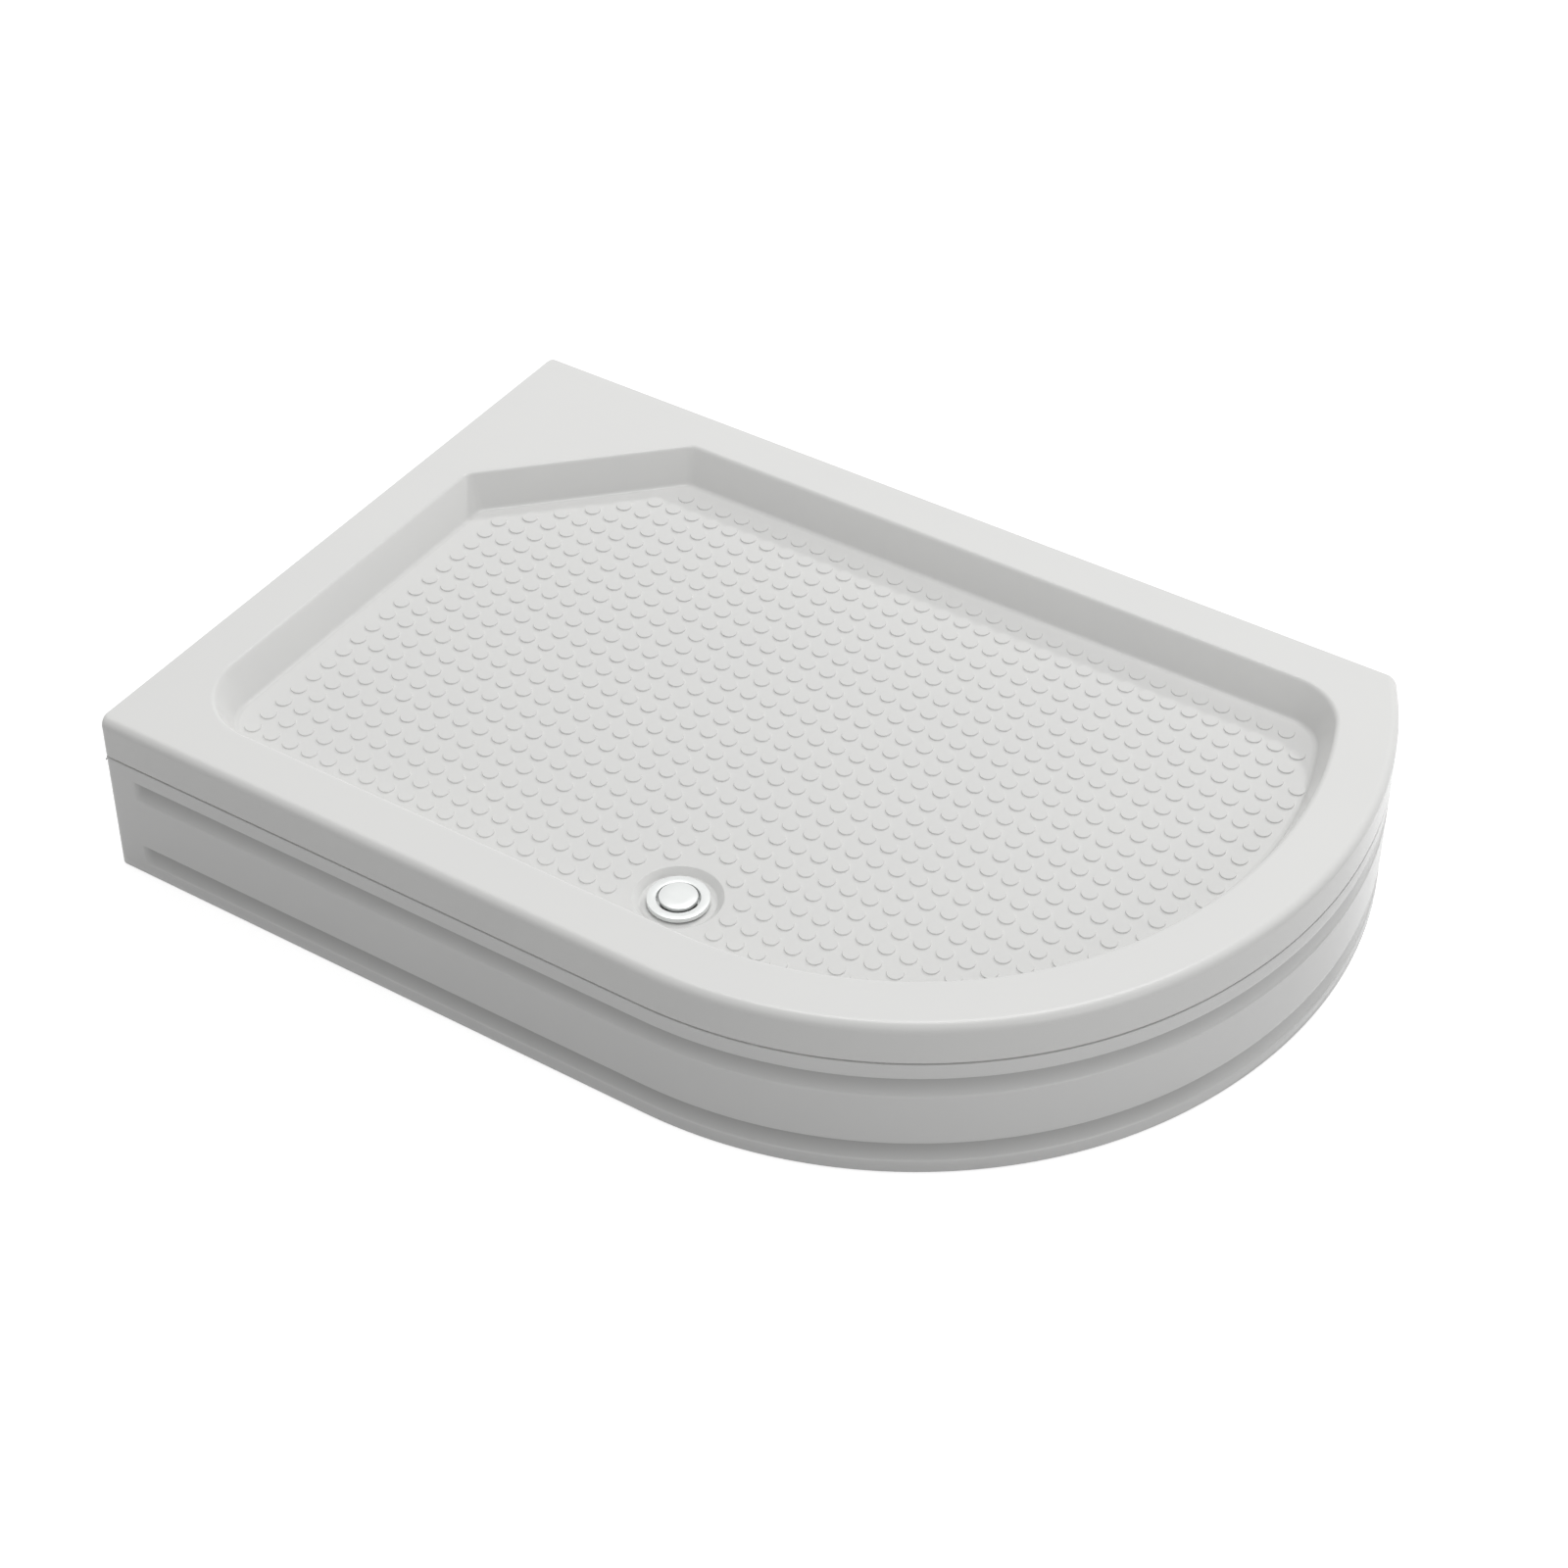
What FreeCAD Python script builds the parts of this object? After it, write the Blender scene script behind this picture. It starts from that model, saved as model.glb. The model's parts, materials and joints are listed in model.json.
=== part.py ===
import FreeCAD, Part
import math
import os

V = FreeCAD.Vector
UP = V(0, 0, 1)

# Overall size of the tray, and the two tangent arcs of its bowed corner
LENGTH = 1180.0
DEPTH = 800.0
HEIGHT = 200.0
FRONT_RADIUS = 490.0
SIDE_RADIUS = 550.0
FRONT_SWEEP = 66.6

# Moulded shell: skin, backing, rim and lip
SKIN = 4.0
BACKING = 4.0
LIP_HEIGHT = 47.0
LIP_ROUND = 10.0
WALL_EDGE_ROUND = 2.0
WALL_CORNER_ROUND = 6.0
FRONT_CORNER_ROUND = 8.0
BACKING_LIP_GAP = 4.0

# Pan: distances of its sharp top edge from the outline, and how far its walls lean in
PAN_DEPTH = 36.0
RIM_WALL = 57.5
RIM_FRONT = 64.0
LEAN_WALL = 24.0
LEAN_FRONT = 10.0
CUT_LEG = 184.0
TOP_CORNER_LEFT = 83.0
TOP_CORNER_RIGHT = 76.0
BASE_CORNER_LEFT = 58.0
BASE_CORNER_RIGHT = 50.0
CUT_CORNER = 16.0
RIM_ROUND = 6.0
BASE_ROUND = 6.0

# Raised grip dots on the pan floor
DOT_PITCH = 25.4
DOT_RADIUS = 9.0
DOT_TOP_RADIUS = 8.5
DOT_HEIGHT = 1.4
DOT_FROM_LEFT = 112.4
DOT_FROM_BACK = 105.5
DOT_WALL_MARGIN = 2.9
DOT_DRAIN_MARGIN = 2.0

# Drain place, sump and waste
DRAIN_FROM_LEFT = 636.0
DRAIN_FROM_FRONT = 137.0
SUMP_RADIUS = 46.0
SUMP_FLOOR_RADIUS = 39.0
SUMP_DEPTH = 7.0
SUMP_ROUND = 2.0
WASTE_HOLE_RADIUS = 28.0
FLANGE_RADIUS = 32.0
FLANGE_HEIGHT = 5.0
FLANGE_ROUND = 0.5
FLANGE_SEAL = 1.5
FLANGE_SEAL_INSET = 1.0
TAIL_RADIUS = 27.0
TAIL_LENGTH = 40.5
TAIL_BORE = 18.0
SEAT_RADIUS = 22.5
SEAT_DEPTH = 8.5

# Press plug, shown raised
PLUG_RADIUS = 20.0
PLUG_THICKNESS = 4.0
PLUG_PROUD = 2.8
PLUG_SEAL = 1.5
PLUG_SEAL_INNER = 15.5
PLUG_SEAL_INSET = 0.5
PLUG_EDGE_ROUND = 1.2
STEM_RADIUS = 4.0
STEM_STOP_RADIUS = 6.5
STEM_STOP = 3.0
STEM_TAIL = 6.0
STEM_CLEARANCE = 0.05
GUIDE_HUB_RADIUS = 8.0
GUIDE_HUB = 18.0
GUIDE_BELOW_SEAT = 7.0
GUIDE_RING = 8.0
GUIDE_RING_WALL = 2.0
GUIDE_ARM = 3.0
FIT_GAP = 0.1
REST_GAP = 0.3

# Trap and its outlet
TRAP_SEAL = 3.0
TRAP_FLANGE_RADIUS = 42.0
TRAP_FLANGE = 6.0
TRAP_TOP = 10.0
TRAP_RADIUS = 40.0
TRAP_WALL = 3.0
TRAP_HEIGHT = 116.0
DIP_TUBE_WALL = 2.5
DIP_TUBE_LENGTH = 92.0
DIP_TUBE_GAP = 0.5
OUTLET_DROP = 54.0
PIPE_RADIUS = 20.0
PIPE_WALL = 2.0
PIPE_LENGTH = 150.0
PIPE_FREE_END = 50.0
PIPE_MARK = 1.0
PIPE_MARK_DEPTH = 0.3
PIPE_GAP = 0.2
SOCKET_WALL = 2.8
SOCKET_LENGTH = 20.0
OUTLET_SEAL = 6.0
NUT_WALL = 5.0
NUT_LIP = 4.0
NUT_OVERLAP = 12.0
NUT_GRIPS = 16
NUT_GRIP_RADIUS = 1.5

# Base board and welded square tube frame
BOARD = 15.0
BOARD_INSET_WALL = 100.0
BOARD_INSET_FRONT = 95.0
BOARD_CORNER = 40.0
BOARD_DRAIN_RADIUS = 62.0
TUBE = 25.0
TUBE_WALL = 2.0
SIDE_BAR_LEFT = 125.0
SIDE_BAR_RIGHT = 220.0
MIDDLE_BAR = 530.0
SIDE_BAR_FRONT_INSET = 80.0
RIGHT_BAR_FRONT_INSET = 160.0
SIDE_BAR_BACK_INSET = 80.0
FRONT_RAIL = 225.0
BACK_RAIL = 135.0
CAP = 3.0
CAP_PLUG = 12.0
SCREW_RADIUS = 2.5
SCREW_GAP = 0.3
SCREW_HEAD_RADIUS = 5.0
SCREW_HEAD = 3.0
SCREW_BITE = 11.0
SCREW_FROM_CORNER = 60.0

# Levelling legs
PLATE = 4.0
PLATE_WIDTH = 44.0
PLATE_REACH = 18.0
LEG_OFFSET = 32.0
LEG_FROM_BAR_END = 20.0
STUD_RADIUS = 5.9
STUD_GAP = 0.4
THREAD_GAP = 0.05
STUD_ABOVE_PLATE = 18.0
NUT_FLATS = 19.0
NUT_HEIGHT = 10.0
LOCK_NUT_HEIGHT = 6.5
FOOT_RADIUS = 27.0
FOOT_RIM = 5.0
FOOT_BASE = 8.0
FOOT_HEIGHT = 26.0
FOOT_NECK_WALL = 5.0

# Front panel, with two long coves in its face
PANEL_FLOOR_GAP = 2.0
PANEL_LIP_GAP = 3.0
PANEL = 9.0
PANEL_FLANGE = 4.0
PANEL_FLANGE_WIDTH = 10.0
PANEL_TOP_ROUND = 4.0
COVE_DEPTH = 5.0
COVE_HEIGHT = 23.0
COVE_LEDGE = 2.0
COVE_CLEAR = 1.0
COVE_TOPS = (41.0, 130.0)
COVE_END_INSET = 40.0

# Panel fixings: where they stand along the front, and their sizes
FIXINGS_STRAIGHT = (95.0, 430.0)
FIXINGS_FRONT_ARC = (33.0,)
FIXINGS_SIDE_ARC = (-14.0, 20.0)
BLOCK_LENGTH = 40.0
BLOCK_DEPTH = 30.0
BLOCK_HEIGHT = 15.0
BRACKET = 3.0
BRACKET_LENGTH = 36.0
BRACKET_FOOT = 24.0
BRACKET_DROP = 30.0
BRACKET_GAP = 1.0
BRACKET_SCREW_RADIUS = 2.0
BRACKET_SCREW_HEAD_RADIUS = 4.0
BRACKET_SCREW_HEAD = 2.5
BRACKET_SCREW_SPREAD = 20.0
BRACKET_SCREW_BITE = 11.0
STRIKE = 2.0
STRIKE_SIZE = 24.0
STRIKE_GAP = 0.3
MAGNET_RADIUS = 9.0
MAGNET_BELOW_LEDGE = 16.0

# Places worked out from the driving dimensions
LEFT, RIGHT = -LENGTH / 2, LENGTH / 2
FRONT, BACK = -DEPTH / 2, DEPTH / 2
SWEEP = math.radians(FRONT_SWEEP)
TURN = SWEEP - math.pi / 2
SIDE_X = RIGHT - SIDE_RADIUS
FRONT_X = SIDE_X + (SIDE_RADIUS - FRONT_RADIUS) * math.sin(SWEEP)
FRONT_Y = FRONT + FRONT_RADIUS
SIDE_Y = FRONT_Y + (SIDE_RADIUS - FRONT_RADIUS) * math.cos(SWEEP)
DRAIN = V(LEFT + DRAIN_FROM_LEFT, FRONT + DRAIN_FROM_FRONT, 0)
LAYERS = SKIN + BACKING
LIP_Z = HEIGHT - LIP_HEIGHT
FLOOR_Z = HEIGHT - PAN_DEPTH
BOARD_Z = FLOOR_Z - LAYERS - BOARD
TUBE_Z = BOARD_Z - TUBE
PLATE_Z = TUBE_Z - PLATE
SUMP_Z = FLOOR_Z - SUMP_DEPTH
FLANGE_Z = SUMP_Z + FLANGE_SEAL
FLANGE_TOP = FLANGE_Z + FLANGE_HEIGHT
SEAT_Z = FLANGE_TOP - SEAT_DEPTH
PLUG_Z = FLANGE_TOP + PLUG_PROUD - PLUG_THICKNESS
GUIDE_Z = SEAT_Z - GUIDE_BELOW_SEAT
TRAP_Z = SUMP_Z - LAYERS - TRAP_SEAL
OUTLET_Z = TRAP_Z - OUTLET_DROP
SOCKET_RADIUS = PIPE_RADIUS + PIPE_GAP
SOCKET_Y = DRAIN.y + TRAP_RADIUS + SOCKET_LENGTH
PANEL_TOP = LIP_Z - PANEL_LIP_GAP
LEDGE_Z = PANEL_TOP - PANEL_FLANGE
RIM_UNDER = HEIGHT - LAYERS


def line(start, end, z):
    return Part.LineSegment(V(*start, z), V(*end, z)).toShape()


def on_circle(centre, radius, angle):
    return (centre[0] + radius * math.cos(angle), centre[1] + radius * math.sin(angle))


def arc(centre, radius, start, end, z):
    points = [V(*on_circle(centre, radius, a), z) for a in (start, (start + end) / 2, end)]
    return Part.Arc(*points).toShape()


def box(x0, y0, z0, x1, y1, z1):
    return Part.makeBox(x1 - x0, y1 - y0, z1 - z0, V(x0, y0, z0))


def rod(radius, z0, z1, centre):
    return Part.makeCylinder(radius, z1 - z0, V(centre.x, centre.y, z0))


def turned(points, centre):
    """Solid of revolution about a vertical axis, from a closed list of (radius, height) points."""
    corners = [V(r, 0, z) for r, z in points]
    wire = Part.makePolygon(corners + corners[:1])
    solid = Part.Face(wire).revolve(V(0, 0, 0), UP, 360)
    solid.translate(V(centre.x, centre.y, 0))
    return solid


def write(node, solids):
    shape = solids[0] if len(solids) == 1 else Part.makeCompound(solids)
    shape.exportStep("parts/" + node + ".step")


# Plan outlines

def front_chain(inset, x_start, y_end, z):
    """Edges along the front and round both arcs, inset from the outline."""
    y = FRONT + inset
    end = math.asin((y_end - SIDE_Y) / (SIDE_RADIUS - inset))
    return [
        line((x_start, y), (FRONT_X, y), z),
        arc((FRONT_X, FRONT_Y), FRONT_RADIUS - inset, -math.pi / 2, TURN, z),
        arc((SIDE_X, SIDE_Y), SIDE_RADIUS - inset, TURN, end, z),
    ]


def chain_end(inset, y_end):
    return (SIDE_X + math.sqrt((SIDE_RADIUS - inset) ** 2 - (y_end - SIDE_Y) ** 2), y_end)


def front_inset(point):
    """Distance of a point from the outline's front and arcs, measured inwards."""
    from_front = math.atan2(point.x - FRONT_X, FRONT_Y - point.y)
    if point.x <= FRONT_X:
        return point.y - FRONT
    if from_front <= SWEEP:
        return FRONT_RADIUS - math.hypot(point.x - FRONT_X, point.y - FRONT_Y)
    return SIDE_RADIUS - math.hypot(point.x - SIDE_X, point.y - SIDE_Y)


def outline(wall, front, z):
    left, back = LEFT + wall, BACK - wall
    edges = front_chain(front, left, back, z)
    edges.append(line(chain_end(front, back), (left, back), z))
    edges.append(line((left, back), (left, FRONT + front), z))
    return Part.Wire(edges)


def band(inset0, inset1, z0, z1):
    """Strip that follows the front and the arcs, between two insets."""
    edges = front_chain(inset0, LEFT, BACK, z0) + front_chain(inset1, LEFT, BACK, z0)
    edges.append(line((LEFT, FRONT + inset0), (LEFT, FRONT + inset1), z0))
    edges.append(line(chain_end(inset0, BACK), chain_end(inset1, BACK), z0))
    wire = Part.Wire(Part.__sortEdges__(edges))
    return Part.Face(wire).extrude(V(0, 0, z1 - z0))


def cut_level(wall):
    """Height of the cut corner's 45 degree line, as y minus x, for a wall inset."""
    meets_left = BACK - RIM_WALL - CUT_LEG
    return meets_left - (LEFT + RIM_WALL) - (wall - RIM_WALL) * math.sqrt(2)


def pan_outline(wall, front, corner_left, corner_right, corner_cut, z):
    left, back, near = LEFT + wall, BACK - wall, FRONT + front
    radius = SIDE_RADIUS - front
    rise = back - corner_right - SIDE_Y
    right_c = (SIDE_X + math.sqrt((radius - corner_right) ** 2 - rise ** 2), back - corner_right)
    right_a = math.atan2(rise, right_c[0] - SIDE_X)
    left_c = (left + corner_left, near + corner_left)
    setback = corner_cut * math.tan(math.pi / 8)
    level = cut_level(wall)
    step = setback / math.sqrt(2)
    back_cut, left_cut = back - level, left + level
    back_c = (back_cut + setback, back - corner_cut)
    low_c = (left + corner_cut, left_cut - setback)
    edges = [
        line((left_c[0], near), (FRONT_X, near), z),
        arc((FRONT_X, FRONT_Y), FRONT_RADIUS - front, -math.pi / 2, TURN, z),
        arc((SIDE_X, SIDE_Y), radius, TURN, right_a, z),
        arc(right_c, corner_right, right_a, math.pi / 2, z),
        line((right_c[0], back), (back_c[0], back), z),
        arc(back_c, corner_cut, math.pi / 2, math.pi * 3 / 4, z),
        line((back_cut - step, back - step), (left + step, left_cut + step), z),
        arc(low_c, corner_cut, math.pi * 3 / 4, math.pi, z),
        line((left, low_c[1]), (left, left_c[1]), z),
        arc(left_c, corner_left, math.pi, math.pi * 3 / 2, z),
    ]
    return Part.Wire(edges)


# Moulded shell

def corner_waste(z0, z1):
    """What rounding the front left corner in plan takes away."""
    radius = FRONT_CORNER_ROUND
    square = box(LEFT, FRONT, z0, LEFT + radius, FRONT + radius, z1)
    return square.cut(rod(radius, z0, z1, V(LEFT + radius, FRONT + radius, 0)))


def rim_block(inset):
    """Space that the rim and lip enclose, inset by a number of layers."""
    top = HEIGHT - inset
    past = LENGTH / 4
    bottom = LIP_Z
    front = Part.Face(outline(-past / 2, inset, bottom)).extrude(V(0, 0, top - bottom))
    round_edges = [
        e for e in front.Edges
        if abs(e.BoundBox.ZMin - top) < 1e-6 and abs(e.BoundBox.ZMax - top) < 1e-6
        and abs(front_inset(e.valueAt((e.FirstParameter + e.LastParameter) / 2)) - inset) < 1e-3
    ]
    front = front.makeFillet(LIP_ROUND - inset, round_edges)
    wall = box(LEFT + inset, FRONT - past, bottom, RIGHT + past, BACK - inset, top)
    if inset == 0:
        corner = [e for e in wall.Edges if e.BoundBox.XMax < LEFT + 1 and e.BoundBox.YMin > BACK - 1]
        wall = wall.makeFillet(WALL_CORNER_ROUND, corner)
        near_wall = WALL_CORNER_ROUND + 1
        edges = [
            e for e in wall.Edges
            if e.BoundBox.ZMin > top - 1e-6
            and (e.BoundBox.XMax < LEFT + near_wall or e.BoundBox.YMin > BACK - near_wall)
        ]
        wall = wall.makeFillet(WALL_EDGE_ROUND, edges)
        return front.common(wall).cut(corner_waste(bottom, top))
    return front.common(wall)


def pan_body(layer):
    """Inside of the pan, grown outwards by a layer, with the drain's sump."""
    def inset(rim, lean, z):
        slope = math.atan2(PAN_DEPTH, lean)
        return rim + (HEIGHT - z) * lean / PAN_DEPTH - layer / math.sin(slope)

    wires = []
    for z, left, right in (
        (HEIGHT, TOP_CORNER_LEFT, TOP_CORNER_RIGHT),
        (FLOOR_Z - layer, BASE_CORNER_LEFT, BASE_CORNER_RIGHT),
    ):
        wall, front = inset(RIM_WALL, LEAN_WALL, z), inset(RIM_FRONT, LEAN_FRONT, z)
        wires.append(pan_outline(wall, front, left + layer, right + layer, CUT_CORNER, z))
    pan = Part.makeLoft(wires, True, True)
    sump = Part.makeCone(
        SUMP_FLOOR_RADIUS + layer, SUMP_RADIUS + layer, SUMP_DEPTH, V(DRAIN.x, DRAIN.y, SUMP_Z - layer)
    )
    return pan, sump


def flat_edges(shape, z):
    return [e for e in shape.Edges if abs(e.BoundBox.ZMin - z) < 1e-4 and abs(e.BoundBox.ZMax - z) < 1e-4]


def dot_centres(floor):
    """Lattice points whose dots stand wholly on the floor face, clear of the sump."""
    border = Part.makeCompound(floor.Edges)
    clear = SUMP_RADIUS + SUMP_ROUND + DOT_RADIUS + DOT_DRAIN_MARGIN
    centres = []
    for i in range(int(LENGTH / DOT_PITCH) + 1):
        for j in range(int(DEPTH / DOT_PITCH) + 1):
            centre = V(LEFT + DOT_FROM_LEFT + i * DOT_PITCH, BACK - DOT_FROM_BACK - j * DOT_PITCH, FLOOR_Z)
            point = Part.Vertex(centre)
            off_drain = math.hypot(centre.x - DRAIN.x, centre.y - DRAIN.y)
            if off_drain < clear or floor.distToShape(point)[0] > 1e-6:
                continue
            if border.distToShape(point)[0] > DOT_RADIUS + DOT_WALL_MARGIN:
                centres.append(centre)
    return centres


def with_dots(shell):
    """The shell with each dot raised from its floor face, sewn in round its foot."""
    floor = max(
        (f for f in shell.Faces if abs(f.BoundBox.ZMin - FLOOR_Z) < 1e-4 and f.BoundBox.ZLength < 1e-4),
        key=lambda f: f.Area,
    )
    faces = [f for f in shell.Faces if not f.isSame(floor)]
    holed = floor.copy()
    feet = []
    for centre in dot_centres(floor):
        dot = Part.makeCone(DOT_RADIUS, DOT_TOP_RADIUS, DOT_HEIGHT, centre)
        faces += [f for f in dot.Faces if f.BoundBox.ZMax > FLOOR_Z + DOT_HEIGHT / 2]
        feet.append(Part.Wire(Part.makeCircle(DOT_RADIUS, centre)).reversed())
    holed.cutHoles(feet)
    sewn = Part.makeCompound(faces + [holed])
    sewn.sewShape()
    return Part.makeSolid(sewn.Shells[0])


def make_shell():
    pan, sump = pan_body(0)
    under_pan, under_sump = pan_body(SKIN)
    shell = rim_block(0).cut(pan)
    shell = shell.makeFillet(RIM_ROUND, [e for e in flat_edges(shell, HEIGHT) if rim_edge(e)])
    shell = shell.makeFillet(BASE_ROUND, flat_edges(shell, FLOOR_Z))
    shell = shell.cut(rim_block(SKIN).cut(under_pan.fuse(under_sump)))
    shell = shell.fuse(under_sump).cut(sump.fuse(rod(SUMP_RADIUS, FLOOR_Z, HEIGHT, DRAIN)))
    lip = [e for e in flat_edges(shell, FLOOR_Z) if drain_edge(e)]
    shell = shell.makeFillet(SUMP_ROUND, lip)
    shell = shell.cut(rod(WASTE_HOLE_RADIUS, BOARD_Z, HEIGHT, DRAIN)).removeSplitter()
    return with_dots(shell.Solids[0])


def rim_edge(edge):
    """True for an edge of the pan's mouth, false for one of the outline."""
    middle = edge.valueAt((edge.FirstParameter + edge.LastParameter) / 2)
    mouth = min(RIM_WALL, RIM_FRONT) / 2
    return min(middle.x - LEFT, BACK - middle.y, front_inset(middle)) > mouth


def drain_edge(edge):
    return edge.BoundBox.XLength < 2.1 * SUMP_RADIUS and abs(edge.BoundBox.Center.x - DRAIN.x) < SUMP_RADIUS


def strip_plans():
    """Plan corners of the rim's six strips: left, cut corner, back, side arc, front arc, front."""
    reach = RIM_WALL + CUT_LEG
    low_left, mitre = (LEFT, FRONT), (LEFT + reach, FRONT + reach)
    left, cut = (LEFT, BACK - reach), (LEFT + reach, BACK - reach)
    rise = BACK - RIM_WALL - TOP_CORNER_RIGHT - SIDE_Y
    past_back = SIDE_X + math.sqrt((SIDE_RADIUS - RIM_FRONT - TOP_CORNER_RIGHT) ** 2 - rise ** 2)
    turn = on_circle((SIDE_X, SIDE_Y), LENGTH, TURN)
    return [
        [low_left, mitre, cut, left],
        [left, cut, (LEFT + reach, BACK), (LEFT, BACK)],
        [cut, (past_back, BACK - reach), (past_back, BACK), (LEFT + reach, BACK)],
        [(SIDE_X, SIDE_Y), turn, (turn[0], BACK), (past_back, BACK), (past_back, BACK - reach)],
        [(FRONT_X, FRONT_Y), (FRONT_X, FRONT), (turn[0], FRONT), turn],
        [low_left, (FRONT_X, FRONT), (FRONT_X, FRONT + reach), mitre],
    ]


def make_backing():
    """Mat under the floor, and strips butted together round the rim."""
    pan, sump = pan_body(SKIN)
    under_pan, under_sump = pan_body(LAYERS)
    body = rim_block(SKIN).fuse([under_pan.common(rim_block(SKIN)), under_sump])
    body = body.cut(rim_block(LAYERS).cut(under_pan.fuse(under_sump)))
    trim = box(LEFT, FRONT, LIP_Z, RIGHT, BACK, LIP_Z + BACKING_LIP_GAP)
    body = body.cut(trim.cut(under_pan.fuse(under_sump)))
    body = body.cut(pan.fuse(sump)).cut(rod(WASTE_HOLE_RADIUS, BOARD_Z, HEIGHT, DRAIN))
    body = max(body.removeSplitter().Solids, key=lambda s: s.Volume)
    floor_plan = min(pan.Faces, key=lambda f: f.BoundBox.ZMax)
    under_floor = floor_plan.extrude(V(0, 0, -PAN_DEPTH))
    rim = body.cut(under_floor)
    strips = []
    for corners in strip_plans():
        points = [V(*corner, LIP_Z) for corner in corners]
        prism = Part.Face(Part.makePolygon(points + points[:1])).extrude(V(0, 0, LIP_HEIGHT))
        strips.append(rim.common(prism).Solids[0])
    return body.common(under_floor).Solids[0], strips


# Base board and frame

BAR_LEFT = LEFT + SIDE_BAR_LEFT
BAR_RIGHT = RIGHT - SIDE_BAR_RIGHT
BAR_MIDDLE = LEFT + MIDDLE_BAR
RAIL_FRONT = FRONT + FRONT_RAIL
RAIL_BACK = BACK - BACK_RAIL
BAR_ENDS = {
    BAR_LEFT: (FRONT + SIDE_BAR_FRONT_INSET, BACK - SIDE_BAR_BACK_INSET),
    BAR_RIGHT: (FRONT + RIGHT_BAR_FRONT_INSET, BACK - SIDE_BAR_BACK_INSET),
}
HALF_TUBE = TUBE / 2


def screw_places():
    near, far = RAIL_FRONT + SCREW_FROM_CORNER, RAIL_BACK - SCREW_FROM_CORNER
    places = [V(x, y, 0) for x in (BAR_MIDDLE, BAR_RIGHT) for y in (near, far)]
    for side in (-SCREW_FROM_CORNER, SCREW_FROM_CORNER):
        places.append(V(BAR_LEFT, RAIL_FRONT + side, 0))
        places.append(V(BAR_MIDDLE + 2 * side, RAIL_BACK, 0))
    return places


def make_board():
    wire = pan_outline(BOARD_INSET_WALL, BOARD_INSET_FRONT, BOARD_CORNER, BOARD_CORNER, CUT_CORNER, BOARD_Z)
    board = Part.Face(wire).extrude(V(0, 0, BOARD))
    top = BOARD_Z + BOARD
    reach = BOARD_DRAIN_RADIUS
    notch = box(DRAIN.x - reach, FRONT, BOARD_Z, DRAIN.x + reach, DRAIN.y, top)
    holes = [rod(SCREW_RADIUS, BOARD_Z, BOARD_Z + SCREW_BITE, place) for place in screw_places()]
    return board.cut([notch, rod(reach, BOARD_Z, top, DRAIN)] + holes)


def tube(x0, y0, x1, y1):
    """Square tube lying along the longer side of a rectangle in plan, drilled for its screws."""
    side_x, side_y = (0, TUBE_WALL) if x1 - x0 > y1 - y0 else (TUBE_WALL, 0)
    low, top = TUBE_Z + TUBE_WALL, BOARD_Z - TUBE_WALL
    inside = box(x0 + side_x, y0 + side_y, low, x1 - side_x, y1 - side_y, top)
    holes = [rod(SCREW_RADIUS + SCREW_GAP, TUBE_Z, BOARD_Z, place) for place in screw_places()]
    return box(x0, y0, TUBE_Z, x1, y1, BOARD_Z).cut([inside] + holes)


def side_bar(x):
    y0, y1 = BAR_ENDS[x]
    return tube(x - HALF_TUBE, y0, x + HALF_TUBE, y1)


def rail(y):
    return tube(BAR_LEFT + HALF_TUBE, y - HALF_TUBE, BAR_RIGHT - HALF_TUBE, y + HALF_TUBE)


def make_caps():
    caps = []
    half = HALF_TUBE - TUBE_WALL
    low, top = TUBE_Z + TUBE_WALL, BOARD_Z - TUBE_WALL
    for x, ends in BAR_ENDS.items():
        for y, out in zip(ends, (-1, 1)):
            plate = sorted((y, y + out * CAP))
            plug = sorted((y, y - out * CAP_PLUG))
            head = box(x - HALF_TUBE, plate[0], TUBE_Z, x + HALF_TUBE, plate[1], BOARD_Z)
            body = box(x - half, plug[0], low, x + half, plug[1], top)
            caps.append(head.fuse(body).removeSplitter())
    return caps


def screw(radius, head_radius, head, bearing, tip):
    """Pan head screw pointing up, from the face under its head to its tip."""
    point = tip - 2 * radius
    return turned(
        [(0, bearing - head), (head_radius * 0.7, bearing - head), (head_radius, bearing - head / 2),
         (head_radius, bearing), (radius, bearing), (radius, point), (radius / 4, tip), (0, tip)],
        V(0, 0, 0),
    )


def make_frame_screws():
    one = screw(SCREW_RADIUS, SCREW_HEAD_RADIUS, SCREW_HEAD, TUBE_Z, BOARD_Z + SCREW_BITE)
    return [one.translated(place) for place in screw_places()]


# Levelling legs

def leg_places():
    """Each leg's axis, with the bar that carries it."""
    near, far = BAR_ENDS[BAR_LEFT]
    places = [
        (V(BAR_LEFT + LEG_OFFSET, near + LEG_FROM_BAR_END, 0), BAR_LEFT),
        (V(BAR_LEFT + LEG_OFFSET, far - LEG_FROM_BAR_END, 0), BAR_LEFT),
    ]
    near, far = BAR_ENDS[BAR_RIGHT]
    places.append((V(BAR_RIGHT - LEG_OFFSET, near + LEG_FROM_BAR_END, 0), BAR_RIGHT))
    places.append((V(BAR_RIGHT - LEG_OFFSET, far - LEG_FROM_BAR_END, 0), BAR_RIGHT))
    places.append((V(BAR_MIDDLE + LEG_OFFSET, (RAIL_FRONT + RAIL_BACK) / 2, 0), BAR_MIDDLE))
    return places


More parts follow.
